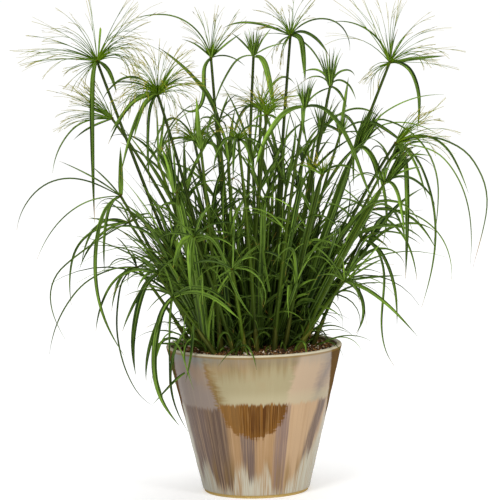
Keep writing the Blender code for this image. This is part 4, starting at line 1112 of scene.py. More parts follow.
def build_mix(mix):
    """The potting mix: a lumpy fill of the pot, with crumbs, bark chips and white specks lying on it."""
    rng = np.random.default_rng(mix.seed)
    bundle = Bundle()

    def inner(z):
        return outer_radius(z) - WALL - GAP

    bottom, top = FLOOR_THICKNESS + GAP, inner(SOIL_EDGE)
    radii = np.linspace(top, 0.0, 60)[:-1]
    profile = [(0.0, bottom), (inner(bottom), bottom), (inner(0.15), 0.15)] + [(r, SOIL_EDGE) for r in radii]
    points = turned_surface(bundle, np.array(profile + [(0.0, SOIL_CROWN)]), 180, 0.35)
    # the top of the fill is lumpy, but for its rim
    upper = (points[:, 2] > 0.2) & (np.hypot(points[:, 0], points[:, 1]) < top - 0.002)
    points[upper, 2] = soil_height(*points[upper, :2].T)

    # each crumb is an octahedron, stretched and turned at random: dark, a brown chip or, by kind, a white speck
    count = mix.crumbs
    r = (top - 0.004) * np.sqrt(rng.random(count))
    a = rng.random(count) * 2 * math.pi
    kind = rng.random(count)
    size = rng.uniform(0.0009, 0.0022, count) * np.where(kind > 0.93, 1.25, 1.0)
    axes, _ = np.linalg.qr(rng.normal(size=(count, 3, 3)))
    axes *= np.sign(np.linalg.det(axes))[:, None, None]
    stretch = np.stack([size * rng.uniform(1.0, 2.2, count), size, size * rng.uniform(0.4, 0.8, count)], -1)
    x, y = r * np.cos(a), r * np.sin(a)
    middle = np.stack([x, y, soil_height(x, y) + size * 0.4], -1)
    corners = octahedron_corners(middle, axes * stretch[:, :, None])
    corners += rng.normal(size=corners.shape) * size[:, None, None] * 0.12
    brown = np.where(kind > 0.80, rng.uniform(0.6, 0.9, count), rng.random(count) * 0.8)
    shade = np.where(kind > 0.955, 0.98, brown)
    bundle.add_octahedra(corners, OCTAHEDRON, corners.reshape(-1, 3)[:, :2], shade, 0)
    piece = bundle.mesh("potting_mix_surface", [mix_material()], 25.0)
    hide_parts("soil")


# ---------------------------------------------------------------- the plant

def grow_stem(bundle, foot, hub, bow, radii, shade, rings=26):
    """A stem: a rounded triangle carried along its curve, thinner towards the head."""
    t = np.linspace(0.0, 1.0, rings)
    line, ways = stem_curve(foot, hub, bow, t)
    side, under = square_frame(ways)
    width = 2 * (radii[0] + (radii[1] - radii[0]) * t)
    bundle.sweep(ribbed_section(9, 0.10), line[None], side[None], under[None], width[None], width[None],
                 shade, 0.0, STEM)


def grow_sheath(bundle, foot, hub, bow, radius, height, turn, shade):
    """A sheath round a stem's foot: a sleeve that leans on the stem's curve, flared below, whose slanted
    top, height (0.72 + 0.28 cos(a - turn)), narrows onto the stem."""
    a = np.linspace(0.0, 2 * math.pi, 10, endpoint=False)
    t = np.linspace(0.0, 1.0, 9)
    up = t[:, None] * height * (0.72 + 0.28 * np.cos(a - turn))[None] / (hub[2] - foot[2])
    line, ways = stem_curve(foot, hub, bow, up)
    side, under = square_frame(ways)
    r = radius * (0.94 + 0.30 * (1 - t) ** 0.8)[:, None, None]
    grid = line + side * r * np.cos(a)[None, :, None] + under * r * np.sin(a)[None, :, None]
    ids = np.arange(up.size).reshape(up.shape)
    uv = np.stack(np.broadcast_arrays(np.abs(a / math.pi - 1.0)[None], t[:, None]), axis=-1).reshape(-1, 2)
    bundle.add(grid.reshape(-1, 3), [tube_faces(ids), ids[:1], ids[-1:, ::-1]], uv, shade, 0.0, SHEATH)


def facing(azimuths):
    """The sign of roll that turns a hanging blade's face to the front: minus between the right and the back,
    and between the left and the front."""
    return np.where(np.sin(2 * np.radians(azimuths)) > 0, -1.0, 1.0)


def grow_bracts(bundle, hub, blades, rng):
    """A head's named bracts. They are 1.3 times as wide as their solids, and turn their faces as they hang."""
    azimuth, length, width, slopes, roll, shade, dry, blunt = zip(*blades)
    count, front = len(blades), facing(azimuth)
    grow_blades(
        bundle, LEAF_SECTION, hub + OFF_HUB * heading(azimuth, [s[0] for s in slopes]), azimuth,
        even_slopes(slopes, 17), length, 1.3 * np.array(width), roll * front, 26,
        np.array(shade) ** 1.5 + rng.uniform(-0.2, 0.2, count),
        dry + np.where(rng.random(count) < 0.5, 0.0, rng.uniform(0.01, 0.05, count)),
        LEAF, twist=rng.uniform(10, 60, count) * front, fullness=np.where(blunt, 40.0, 3.4)[:, None],
    )


def grow_rays(bundle, hub, spray, rng):
    """The rays of an open head. They fill a cone and gather into bunches, each of which bends over by its own
    amount. A ray is green and firm at the hub, thins along its length, and from halfway on it sends off finer
    threads, with slim spikelets lying along it."""
    count, rings = spray.count, 10
    bunches = max(3, count // 4)
    way = heading(*cone_directions(count, spray.azimuth, spray.slope, spray.half_angle))
    centres = way[rng.permutation(count)[:bunches]]
    nearest = np.argmax(way @ centres.T, axis=1)
    azimuth, slope = angles_of(way + 0.40 * centres[nearest] + rng.normal(0, 0.13, way.shape))
    bend = rng.uniform(0.1, 2.1, bunches)[nearest] + rng.normal(0, 0.25, count)
    fall = spray.droop * np.cos(np.radians(slope)) * bend
    slopes = np.maximum(arched(slope, fall, -0.20, 0.10, 0.7, 1.2), -88.0)
    length = spray.length * rng.uniform(0.85, 1.15, bunches)[nearest] * rng.uniform(0.60, 1.05, count)
    t = np.linspace(0.0, 1.0, rings)
    line, forward, level, up = strands(hub + OFF_HUB * heading(azimuth, slope), azimuth, slopes, length, rings,
                                       rng.normal(0, 30, count))
    crowding = min(1.0, math.sqrt(60 / count))
    width = np.maximum(THINNEST_RAY, spray.width * crowding * rng.uniform(0.8, 1.25, count)[:, None] * (1.0 - t))
    shade = rng.uniform(0.1, 0.9, count)
    bundle.sweep(THREAD_SECTION, line, level, -up, width, width, shade, rng.uniform(0.10, 0.50, count), THREAD)

    forks = 2
    at = rng.integers(4, 8, (count, forks))
    row = np.arange(count)[:, None]
    base, way = line[row, at].reshape(-1, 3), forward[row, at].reshape(-1, 3)
    azimuth, slope = angles_of(way + rng.normal(0, 0.10, way.shape))
    left = np.repeat(length, forks) * (1.0 - at.ravel() / (rings - 1)) * rng.uniform(0.5, 1.1, count * forks)
    slopes = arched(slope, rng.uniform(0, 30, count * forks), 0.0, 0.3, 1.0)
    twig, twig_way, level, up = strands(base, azimuth, slopes, left, 5)
    thin = TWIG_WIDTH * np.linspace(1.0, 0.6, 5)[None] * np.ones((len(left), 1))
    bundle.sweep(THREAD_SECTION, twig, level, -up, thin, thin, np.repeat(shade, forks),
                 rng.uniform(0.2, 1.0, len(left)), THREAD)
    for lines, ways, places, share in ((line, forward, (5, 7), 0.22), (twig, twig_way, (1, 3), 0.16)):
        for ring in places:
            spots = rng.random(len(lines)) < share
            grow_spikelets(bundle, lines[spots, ring], ways[spots, ring], rng)


def grow_spikelets(bundle, places, ways, rng):
    """Small spindles, each a stretched octahedron leaning off its thread."""
    count = len(places)
    ways = ways + rng.normal(0, 0.12, ways.shape)
    ways /= np.linalg.norm(ways, axis=-1, keepdims=True)
    side, under = square_frame(ways)
    long = rng.uniform(0.0018, 0.0042, count)[:, None]
    wide = rng.uniform(0.0003, 0.0006, count)[:, None]
    middle = places + ways * long * rng.uniform(-1.0, 3.0, count)[:, None]
    corners = octahedron_corners(middle, np.stack([ways * long, side * wide, under * wide], axis=1))
    bundle.add_octahedra(corners, OCTAHEDRON[:, (0, 2, 1)], np.full((6 * count, 2), 0.5), rng.random(count), SPIKELET)


def grow_tuft(bundle, hub, spray, rng):
    """The upright bracts of a closed head: narrow straps round wider ones, their tips leaning out."""
    count = spray.count * 5
    azimuth, slope = cone_directions(count, spray.azimuth, spray.slope, spray.half_angle * 1.25)
    slope = np.minimum(slope, 89.0)
    length = spray.length * rng.uniform(0.55, 1.0, count)
    fall = rng.uniform(0, 26, count)
    slopes = np.stack([slope, slope + 1, slope - 0.3 * fall, slope - fall], axis=-1)
    width = spray.width * rng.uniform(0.35, 0.9, count)
    grow_blades(bundle, STRAP_SECTION, hub + 0.003 * heading(azimuth, 0 * slope + 10), azimuth, slopes, length,
                width, rng.uniform(0, 90, count), 12, rng.uniform(0.15, 0.75, count),
                rng.uniform(-0.02, 0.06, count), LEAF, twist=rng.normal(0, 40, count))


def grow_hub(bundle, hub, radius, rng):
    """A head's brown centre: short scales packed round the hub."""
    count = 40
    azimuth, slope = cone_directions(count, 0.0, 60.0, 130.0)
    grow_blades(bundle, STRAP_SECTION, hub - 0.4 * radius * heading(azimuth, slope), azimuth,
                np.stack([slope] * 3, axis=-1), radius * rng.uniform(0.9, 1.5, count), np.full(count, 0.0022),
                rng.uniform(0, 90, count), 5, rng.uniform(0.0, 0.6, count), 0.0, SPIKELET)


def grow_head(bundle, head, rng):
    """Everything that a head carries: its scales, bracts, rays and tuft, and a few short inner bracts."""
    grow_hub(bundle, head.hub, head.hub_radius * 0.55, rng)
    grow_bracts(bundle, head.hub, head.blades, rng)
    for spray in head.sprays:
        (grow_rays if spray.kind == "rays" else grow_tuft)(bundle, head.hub, spray, rng)
    if any(spray.kind == "rays" for spray in head.sprays):
        spray = head.sprays[0]
        count = 5 + min(spray.count // 5, 12)
        azimuth, slope = cone_directions(count, spray.azimuth, spray.slope, spray.half_angle * 1.1)
        grow_blades(bundle, STRAP_SECTION, head.hub + OFF_HUB * heading(azimuth, slope), azimuth,
                    np.stack([slope + 6, slope, slope - 14], axis=-1), spray.length * rng.uniform(0.22, 0.56, count),
                    rng.uniform(0.0016, 0.0032, count), rng.uniform(0, 90, count), 10,
                    rng.uniform(0.4, 0.9, count), rng.uniform(0.0, 0.2, count), LEAF)


def clear_of_pot(line):
    """True for each line that stays over the mix or well outside the pot, and inside the frame's box."""
    x, y, z = line[..., 0], line[..., 1], line[..., 2]
    across = np.hypot(x, y)
    outer = outer_radius(np.clip(z, 0.0, POT_HEIGHT))
    beside = (across > outer - WALL - POT_CLEARANCE) & (across < outer + POT_CLEARANCE)
    cuts = (z < POT_HEIGHT + POT_CLEARANCE) & beside
    sinks = (z < ROOTED) & (across < outer)
    low, high = np.array(cad_box[0]) + BOX_CLEARANCE, np.array(cad_box[1]) - BOX_CLEARANCE
    outside = ((line < low) | (line > high)).any(axis=-1)
    return ~(cuts | sinks | outside).any(axis=1)


def grow_clear(bundle, starts, azimuth, slopes, length, rings, rng, width, shade, dry, drift, twist):
    """Straps that clear the pot, of those asked for. Width and dry are ranges, drift and twist are spreads, and
    shade makes as many values as it is asked for."""
    line, *_ = strands(starts, azimuth, slopes, length, rings)
    keep = np.flatnonzero(clear_of_pot(line))
    count = len(keep)
    if count:
        grow_blades(bundle, STRAP_SECTION, starts[keep], azimuth[keep], slopes[keep], length[keep],
                    rng.uniform(*width, count), rng.uniform(0, 90, count), rings, shade(count),
                    rng.uniform(*dry, count), LEAF, drift=rng.normal(0, drift, count),
                    twist=rng.normal(0, twist, count))


# The crown's three kinds of leaf, as ranges: share of the number, length, width, arch in degrees, and how
# far it leans out. Broad ones stand, narrow ones arch over, and short ones fold down near the lip.
Kind = namedtuple("Kind", "share length width arch lean")
CROWN_KINDS = (
    Kind(0.80, (0.12, 0.27), (0.0056, 0.0108), (2, 34), 36),
    Kind(0.36, (0.19, 0.38), (0.0036, 0.0070), (40, 140), 40),
    Kind(0.40, (0.05, 0.13), (0.0034, 0.0062), (50, 130), 56),
)


def feet_near(centre, reach, height, rng, count=None):
    """Random feet of a clump, one or many: their places, and their ways out from the crown's middle."""
    r, a = reach * np.sqrt(rng.random(count)), rng.random(count) * 2 * math.pi
    x, y = centre[0] + r * np.cos(a), centre[1] + r * np.sin(a)
    feet = np.stack([x, y, np.full_like(x, height)], axis=-1)
    return feet, feet[..., :2] - CROWN_MIDDLE


def grow_crown(bundle, clump, plant, rng):
    """A clump's own leaves: they rise from near its centre, lean outwards as far as their feet are from the
    plant's middle, and arch over. Those that would cut the pot aren't kept."""
    for kind in CROWN_KINDS:
        wanted = round(plant.crown_leaves * kind.share)
        drawn = wanted * 3
        feet, way = feet_near(clump.centre, LEAF_REACH, SOIL_CROWN - 0.001, rng, drawn)
        out = np.hypot(*way.T)
        azimuth = np.degrees(np.arctan2(way[:, 1], way[:, 0])) + rng.normal(0, 26, drawn)
        slope = 89 - kind.lean * np.minimum(1.0, out / 0.09) * rng.uniform(0.4, 1.15, drawn)
        slopes = arched(slope, rng.uniform(*kind.arch, drawn), 0, 0.10, 0.35, 0.7, 1)
        length = rng.uniform(*kind.length, drawn)
        width = rng.uniform(*kind.width, drawn)
        line, *_ = strands(feet, azimuth, slopes, length, 14)
        keep = np.flatnonzero(clear_of_pot(line))[:wanted]
        count = len(keep)
        # painted shade: leaves whose feet are near the plant's middle are given deeper shades
        shade = rng.beta(0.55, 1.0, count) * (0.30 + 0.70 * np.minimum(1.0, out[keep] / 0.06))
        grow_blades(bundle, STRAP_SECTION, feet[keep], azimuth[keep], slopes[keep], length[keep], width[keep],
                    rng.uniform(0, 90, count), 14, shade,
                    np.where(rng.random(count) < 0.75, 0.0, rng.uniform(0.02, 0.08, count)), LEAF,
                    drift=rng.normal(0, 14, count), twist=rng.normal(0, 50, count))


def grow_leafy_shoots(bundle, clump, plant, rng):
    """Leafy shoots of a clump: six or so broad blades that rise together as one straight bundle for half their
    length and then part, each turning and arching by its own amount."""
    for _ in range(round(plant.leafy_shoots * clump.shoots)):
        count = rng.integers(5, 9)
        foot, way = feet_near(clump.centre, LEAF_REACH, SOIL_CROWN - 0.001, rng)
        azimuth = math.degrees(math.atan2(way[1], way[0])) + rng.normal(0, 14, count).mean() + rng.normal(0, 5, count)
        slope = 88 - 30 * min(1.0, np.hypot(*way) / 0.10) * rng.uniform(0.6, 1.2) + rng.normal(0, 2.5, count)
        slopes = arched(slope, rng.uniform(4, 80, count), 0, 0, 0.05, 0.4, 1)
        length = rng.uniform(0.22, 0.39) * rng.uniform(0.6, 1.0, count)
        starts = foot + rng.normal(0, 0.0018, (count, 3)) * (1.0, 1.0, 0.0)
        drift = rng.normal(0, 55, count)
        line, *_ = strands(starts, azimuth, slopes, length, 16, drift)
        keep = np.flatnonzero(clear_of_pot(line))
        count = len(keep)
        if count:
            grow_blades(bundle, STRAP_SECTION, starts[keep], azimuth[keep], slopes[keep], length[keep],
                        rng.uniform(0.0048, 0.0090, count), rng.uniform(20, 100, count), 16,
                        rng.uniform(0, 0.3) + 0.7 * rng.beta(0.6, 1.1, count), rng.uniform(-0.03, 0.05, count),
                        LEAF, drift=drift[keep], twist=rng.normal(0, 40, count), fullness=2.0)


def grow_young_stems(bundle, clump, plant, rng):
    """Thin young stems of a clump, each with a small tuft of arching bracts at its top."""
    for _ in range(round(plant.young_stems * clump.young)):
        foot, way = feet_near(clump.centre, YOUNG_REACH, SOIL_CROWN, rng)
        height = rng.uniform(0.10, 0.33)
        lean = way * height * rng.uniform(2.6, 4.6) + rng.normal(0, 0.02, 2)
        hub = np.array([foot[0] + lean[0], foot[1] + lean[1], SOIL_CROWN + height])
        grow_stem(bundle, foot, hub, STALK_BOW, YOUNG_RADII, rng.uniform(0.1, 0.9), 14)
        grow_fan(bundle, hub, 6, rng, slope=(45, 88), arch=(10, 80), length=(0.06, 0.17), width=(0.0036, 0.0075),
                 shade=(0.05, 0.7), dry=(-0.03, 0.06))


def grow_fan(bundle, hub, count, rng, slope, arch, length, width, shade, dry):
    """Leaves all round a hub, each of which arches over by its own amount. Slope, arch, length, width, shade
    and dry are ranges."""
    azimuth = rng.random() * 360 + GOLDEN_ANGLE * np.arange(count)
    slopes = arched(rng.uniform(*slope, count), rng.uniform(*arch, count), 0, 0.25, 0.6, 1)
    grow_clear(bundle, np.broadcast_to(hub, (count, 3)), azimuth, slopes, rng.uniform(*length, count), 12, rng,
               width, lambda n: rng.uniform(*shade, n), dry, 12, 50)


def grow_fine_fan(bundle, hub, count, reach, rng):
    """Fine leaves all round a hub, as a young shoot's."""
    grow_fan(bundle, hub, count, rng, slope=(15, 82), arch=(30, 140), length=(0.45 * reach, reach),
             width=(0.0024, 0.0056), shade=(0.0, 0.7), dry=(-0.04, 0.06))


def grow_stalk(bundle, stalk, rng):
    """A stalk: blades that lie round one stem's curve, keel outwards, at 0.55 of its radius, which end at
    heights of their own, and leaves that go on from its top and arch over."""
    count, rings = 6, 22
    ends = rng.uniform(0.93, 1.0, count) if stalk.leaves == 0 else rng.uniform(0.72, 1.0, count)
    t = np.linspace(0.0, 1.0, rings)
    line, ways = stem_curve((*stalk.foot, ROOTED), stalk.top, STALK_BOW, ends[:, None] * t)
    side, under = square_frame(ways)
    turn = (2 * math.pi / count * (np.arange(count) + rng.uniform(-0.3, 0.3, count)))[:, None, None]
    turn = turn + rng.uniform(-0.5, 0.5, count)[:, None, None] * t[:, None]
    outward = np.cos(turn) * side + np.sin(turn) * under
    around = np.cos(turn) * under - np.sin(turn) * side
    width = blade_width(t, stalk.radius * rng.uniform(1.1, 1.5, count), 30.0)
    bundle.sweep(LEAF_SECTION, line + 0.55 * stalk.radius * outward, around, outward, width, 0.7 * width,
                 stalk.shade + rng.uniform(-0.22, 0.22, count), 0.0, LEAF)
    if stalk.leaves:
        number = stalk.leaves
        azimuth, slope = angles_of(ways[:1, -1])
        azimuth = azimuth + rng.normal(0, 40, number)
        slope = slope + rng.normal(0, 8, number)
        slopes = arched(slope, rng.uniform(20, 130, number), 0, 0.1, 0.5, 1)
        broad = (0.9 * stalk.radius, 1.4 * stalk.radius)
        grow_clear(bundle, line[:number, -1], azimuth, slopes, rng.uniform(0.09, 0.22, number), 14, rng, broad,
                   lambda n: stalk.shade + rng.uniform(-0.1, 0.4, n), (-0.03, 0.05), 20, 40)


def grow_side_leaves(bundle, stalk, rng):
    """Leaves that part from a stalk on its way up, to the front and the sides, and fold over: their slopes
    start between 15 and 80 degrees and fall by 30 to 150."""
    places, _ = stem_curve((*stalk.foot, SOIL_CROWN), stalk.top, STALK_BOW, rng.uniform(0.08, 0.72, SIDE_LEAVES))
    azimuth = rng.uniform(150, 390, SIDE_LEAVES)
    slopes = arched(rng.uniform(15, 80, SIDE_LEAVES), rng.uniform(30, 150, SIDE_LEAVES), 0, 0.2, 0.6, 1)
    grow_clear(bundle, places, azimuth, slopes, rng.uniform(0.05, 0.15, SIDE_LEAVES), 12, rng, (0.0030, 0.0072),
               lambda n: rng.beta(0.8, 1.0, n), (-0.03, 0.05), 20, 50)


def grow_loose(bundle, leaves, rng):
    """The named leaves that lie over the mix or hang over the lip."""
    starts, azimuth, length, width, slopes, roll, shade, dry = zip(*leaves)
    grow_blades(
        bundle, LEAF_SECTION, metres(starts), azimuth, even_slopes(slopes, 17), metres(length), metres(width),
        roll * facing(azimuth), 22, np.array(shade) ** 1.5, dry, LEAF, twist=rng.uniform(-30, 30, len(leaves)),
        fullness=2.3,
    )


def in_metres(table):
    """The heads of a table, in metres, each with its number in words and its foot in the mix."""
    for number, (hub, foot, bow, hub_radius, blades, sprays) in enumerate(table, 1):
        rows = [Blade(azimuth, length / 1000, width / 1000, *rest) for azimuth, length, width, *rest in blades]
        yield f"{number:02d}", Head(metres(hub), np.array((*metres(foot), ROOTED)), bow, hub_radius, rows, sprays)


def build_culms(plant):
    """The tall stems, each with brown sheaths round its foot."""
    for number, (name, head) in enumerate(in_metres(TALL)):
        rng = np.random.default_rng([plant.seed, 1, number])
        bundle = Bundle()
        grow_stem(bundle, head.foot, head.hub, head.bow, CULM_RADII, rng.uniform(0.05, 0.45))
        for height, radius in CULM_SHEATHS:
            grow_sheath(bundle, head.foot, head.hub, head.bow, radius * rng.uniform(0.95, 1.15),
                        height * rng.uniform(0.6, 1.6), rng.random() * 6.3, rng.uniform(0.0, 0.8))
        piece = bundle.mesh(f"stem_{name}", leaf_materials(plant), 40.0)
        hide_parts(f"culm_{name}")


def build_heads(plant):
    """The heads of the tall stems."""
    for number, (name, head) in enumerate(in_metres(TALL)):
        bundle = Bundle()
        grow_head(bundle, head, np.random.default_rng([plant.seed, 2, number]))
        piece = bundle.mesh(f"head_{name}", leaf_materials(plant))
        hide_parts(f"umbel_{name}")


def build_shoots(plant):
    """The short shoots, each with its own stem, sheath and arching leaves."""
    for number, (name, head) in enumerate(in_metres(SHOOTS)):
        rng = np.random.default_rng([plant.seed, 3, number])
        bundle = Bundle()
        grow_stem(bundle, head.foot, head.hub, head.bow, SHOOT_RADII, rng.uniform(0.2, 0.6))
        height, radius = SHOOT_SHEATH
        grow_sheath(bundle, head.foot, head.hub, head.bow, radius, height, rng.random() * 6.3, rng.uniform(0.1, 0.7))
        grow_head(bundle, head, rng)
        grow_fine_fan(bundle, head.hub, plant.shoot_leaves, SHOOT_FAN_REACH, rng)
        piece = bundle.mesh(f"low_shoot_{name}", leaf_materials(plant))
        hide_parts(f"shoot_{name}")


def build_crowns(plant):
    """The clumps of leaves and young stems at the soil."""
    stalks = [Stalk(metres(foot), metres(top), radius / 1000, *rest) for foot, top, radius, *rest in STALKS]
    for number, clump in enumerate(CLUMPS):
        rng = np.random.default_rng([plant.seed, 4, number])
        bundle = Bundle()
        grow_crown(bundle, clump, plant, rng)
        grow_leafy_shoots(bundle, clump, plant, rng)
        grow_young_stems(bundle, clump, plant, rng)
        if clump.name == "front":
            grow_loose(bundle, [Loose(*row) for row in LOOSE], rng)
            for stalk in stalks:
                grow_stalk(bundle, stalk, rng)
            for stalk in stalks:
                grow_side_leaves(bundle, stalk, rng)
            for spot in LOW_FANS:
                grow_fine_fan(bundle, (*metres(spot), SOIL_CROWN), LOW_FAN_LEAVES, LOW_FAN_REACH, rng)
        piece = bundle.mesh(f"crown_leaves_{clump.name}", leaf_materials(plant))
        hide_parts(f"leaf_clump_{clump.name}")


# ---------------------------------------------------------------- the stage

FLOOR_HALF = 60.0
CAMERA_AIM = (-0.004, 0.0, 0.417)
CAMERA_DISTANCE = 5.5
CAMERA_TILT = 6.5
CAMERA_ROLL = 1.0
CAMERA_ANGLE = 8.94


def build_camera():
    """The camera looks along +Y and down by its tilt, and leans by its roll."""
    tilt, roll = math.radians(CAMERA_TILT), math.radians(CAMERA_ROLL)
    forward = Vector((0.0, math.cos(tilt), -math.sin(tilt)))
    right = Vector((1.0, 0.0, 0.0))
    up = right.cross(forward)
    across = right * math.cos(roll) - up * math.sin(roll)
    above = right * math.sin(roll) + up * math.cos(roll)
    data = bpy.data.cameras.new("photo camera")
    data.sensor_fit = "HORIZONTAL"
    data.angle = math.radians(CAMERA_ANGLE)
    data.clip_start, data.clip_end = 0.1, 500.0
    camera = bpy.data.objects.new("photo camera", data)
    place = Vector(CAMERA_AIM) - forward * CAMERA_DISTANCE
    camera.matrix_world = Matrix.Translation(place) @ Matrix((across, above, -forward)).transposed().to_4x4()
    bpy.context.scene.collection.objects.link(camera)
    bpy.context.scene.camera = camera


def add_softbox(name, place, aim, size, power):
    """A rectangular area light at a place, facing its aim."""
    data = bpy.data.lights.new(name, "AREA")
    data.shape, data.size, data.size_y, data.energy = "RECTANGLE", size[0], size[1], power
    light = bpy.data.objects.new(name, data)
    light.location = place
    light.rotation_euler = (Vector(aim) - Vector(place)).to_track_quat("-Z", "Y").to_euler()
    bpy.context.scene.collection.objects.link(light)


def build_stage(stage):
    """A pale floor, a white world and soft lights."""
    mesh = bpy.data.meshes.new("floor")
    half = FLOOR_HALF
    mesh.from_pydata([(-half, -half, 0), (half, -half, 0), (half, half, 0), (-half, half, 0)], [], [(0, 1, 2, 3)])
    mesh.materials.append(floor_material(stage))
    floor = bpy.data.objects.new("floor", mesh)
    bpy.context.scene.collection.objects.link(floor)
    bpy.context.scene.world = studio_world(stage)
    add_softbox("key softbox", (-1.2, -2.5, 1.7), (0.0, 0.0, 0.38), (1.0, 1.6), stage.key)
    add_softbox("fill softbox", (1.9, -2.1, 0.9), (0.0, 0.0, 0.25), (0.8, 1.6), stage.fill)
    add_softbox("top softbox", (0.2, 0.4, 2.8), (0.0, 0.0, 0.40), (1.6, 1.6), stage.top)
    build_camera()
    bpy.context.scene.view_settings.view_transform = "Standard"


# ---------------------------------------------------------------- settings

class PotSettings(bpy.types.PropertyGroup):
    """What a user would change on the pot."""

    sides: IntProperty(name="Sides", description="Facets round the pot", default=256, min=24, max=512)
    gloss_roughness: FloatProperty(name="Glaze roughness", description="Roughness of the glaze", default=0.16,
                                   min=0.0, max=1.0, subtype="FACTOR")


class MixSettings(bpy.types.PropertyGroup):
    """What a user would change on the potting mix."""

    crumbs: IntProperty(name="Crumbs", description="Loose crumbs lying on the mix", default=5200, min=0, max=9000)
    seed: IntProperty(name="Seed", description="Which scatter of crumbs is drawn", default=4)


class PlantSettings(bpy.types.PropertyGroup):
    """What a user would change on the plant."""

    seed: IntProperty(name="Seed", description="Which scatter of rays and leaves is drawn", default=11)
    crown_leaves: IntProperty(name="Crown leaves", description="Broad leaves of each clump", default=50, min=0,
                              max=200)
    leafy_shoots: IntProperty(name="Leafy shoots", description="Bundles of broad blades of each clump", default=9,
                              min=0, max=30)
    young_stems: IntProperty(name="Young stems", description="Young stems of each clump", default=9, min=0, max=30)
    shoot_leaves: IntProperty(name="Shoot leaves", description="Fine leaves round each short shoot", default=6,
                              min=0, max=60)
    leaf_deep: FloatVectorProperty(name="Deep leaf green", description="Colour of the darkest leaves",
                                   default=(0.012, 0.034, 0.001), min=0.0, max=1.0, subtype="COLOR")
    leaf_bright: FloatVectorProperty(name="Bright leaf green", description="Colour of the brightest leaves",
                                     default=(0.320, 0.535, 0.060), min=0.0, max=1.0, subtype="COLOR")
    stem_deep: FloatVectorProperty(name="Deep stem green", description="Colour of the darkest stems",
                                   default=(0.020, 0.036, 0.002), min=0.0, max=1.0, subtype="COLOR")
    stem_bright: FloatVectorProperty(name="Bright stem green", description="Colour of the brightest stems",
                                     default=(0.140, 0.230, 0.010), min=0.0, max=1.0, subtype="COLOR")


class StageSettings(bpy.types.PropertyGroup):
    """What a user would change on the stage."""

    floor_colour: FloatVectorProperty(name="Floor colour", description="Colour of the floor",
                                      default=(0.95, 0.95, 0.95), min=0.0, max=1.0, subtype="COLOR")
    glow: FloatProperty(name="Floor glow", description="Glow of the floor near the pot, seen by the camera alone",
                        default=0.36, min=0.0)
    far_glow: FloatProperty(name="Far floor glow", description="Glow of the floor far away, seen by the camera alone",
                            default=0.69, min=0.0)
    sky: FloatProperty(name="Sky", description="Strength of the white surroundings", default=0.36, min=0.0)
    key: FloatProperty(name="Key light", description="Power of the front left softbox", default=37.0, min=0.0,
                       unit="POWER")
    fill: FloatProperty(name="Fill light", description="Power of the right softbox", default=30.0, min=0.0,
                        unit="POWER")
    top: FloatProperty(name="Top light", description="Power of the overhead softbox", default=30.0, min=0.0,
                       unit="POWER")


# ---------------------------------------------------------------- operators and panel

class PAPYRUS_OT_pot(bpy.types.Operator):
    """Builds the glazed pot"""

    bl_idname = "papyrus.pot"
    bl_label = "Glazed pot"

    def execute(self, context):
        build_pot(context.scene.papyrus_pot)
        return {"FINISHED"}


class PAPYRUS_OT_mix(bpy.types.Operator):
    """Builds the potting mix with its crumbs and white specks"""

    bl_idname = "papyrus.mix"
    bl_label = "Potting mix"

    def execute(self, context):
        build_mix(context.scene.papyrus_mix)
        return {"FINISHED"}


class PAPYRUS_OT_stems(bpy.types.Operator):
    """Builds the tall stems with their sheaths"""

    bl_idname = "papyrus.stems"
    bl_label = "Tall stems"

    def execute(self, context):
        build_culms(context.scene.papyrus_plant)
        return {"FINISHED"}


class PAPYRUS_OT_heads(bpy.types.Operator):
    """Builds the heads of bracts and rays"""

    bl_idname = "papyrus.heads"
    bl_label = "Heads"

    def execute(self, context):
        build_heads(context.scene.papyrus_plant)
        return {"FINISHED"}


class PAPYRUS_OT_shoots(bpy.types.Operator):
    """Builds the short shoots with their arching leaves"""

    bl_idname = "papyrus.shoots"
    bl_label = "Short shoots"

    def execute(self, context):
        build_shoots(context.scene.papyrus_plant)
        return {"FINISHED"}


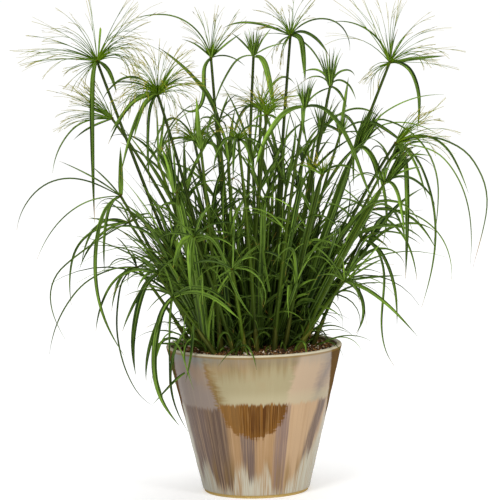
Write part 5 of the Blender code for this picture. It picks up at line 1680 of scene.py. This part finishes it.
class PAPYRUS_OT_crowns(bpy.types.Operator):
    """Builds the clumps of leaves and young stems at the soil"""

    bl_idname = "papyrus.crowns"
    bl_label = "Leaf clumps"

    def execute(self, context):
        build_crowns(context.scene.papyrus_plant)
        return {"FINISHED"}


class PAPYRUS_OT_stage(bpy.types.Operator):
    """Builds the floor, the lights and the camera"""

    bl_idname = "papyrus.stage"
    bl_label = "Stage"

    def execute(self, context):
        build_stage(context.scene.papyrus_stage)
        return {"FINISHED"}


class PAPYRUS_PT_panel(bpy.types.Panel):
    """Lists the pieces and their settings"""

    bl_label = "Potted papyrus"
    bl_idname = "PAPYRUS_PT_panel"
    bl_space_type = "VIEW_3D"
    bl_region_type = "UI"
    bl_category = "Papyrus"

    def draw(self, context):
        layout = self.layout
        for attribute, _, operators in SECTIONS:
            box = layout.box()
            settings = getattr(context.scene, attribute)
            for name in settings.__annotations__:
                box.prop(settings, name)
            for operator in operators:
                box.operator(operator.bl_idname)


SECTIONS = (
    ("papyrus_pot", PotSettings, (PAPYRUS_OT_pot,)),
    ("papyrus_mix", MixSettings, (PAPYRUS_OT_mix,)),
    ("papyrus_plant", PlantSettings, (PAPYRUS_OT_stems, PAPYRUS_OT_heads, PAPYRUS_OT_shoots, PAPYRUS_OT_crowns)),
    ("papyrus_stage", StageSettings, (PAPYRUS_OT_stage,)),
)


def register():
    for attribute, settings, operators in SECTIONS:
        for cls in (settings, *operators):
            bpy.utils.register_class(cls)
        setattr(bpy.types.Scene, attribute, PointerProperty(type=settings))
    bpy.utils.register_class(PAPYRUS_PT_panel)


def unregister():
    bpy.utils.unregister_class(PAPYRUS_PT_panel)
    for attribute, settings, operators in reversed(SECTIONS):
        delattr(bpy.types.Scene, attribute)
        for cls in (*reversed(operators), settings):
            bpy.utils.unregister_class(cls)


def main():
    """Registers the classes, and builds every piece."""
    register()
    bpy.ops.papyrus.pot()
    bpy.ops.papyrus.mix()
    bpy.ops.papyrus.stems()
    bpy.ops.papyrus.heads()
    bpy.ops.papyrus.shoots()
    bpy.ops.papyrus.crowns()
    bpy.ops.papyrus.stage()


if __name__ == "__main__":
    main()
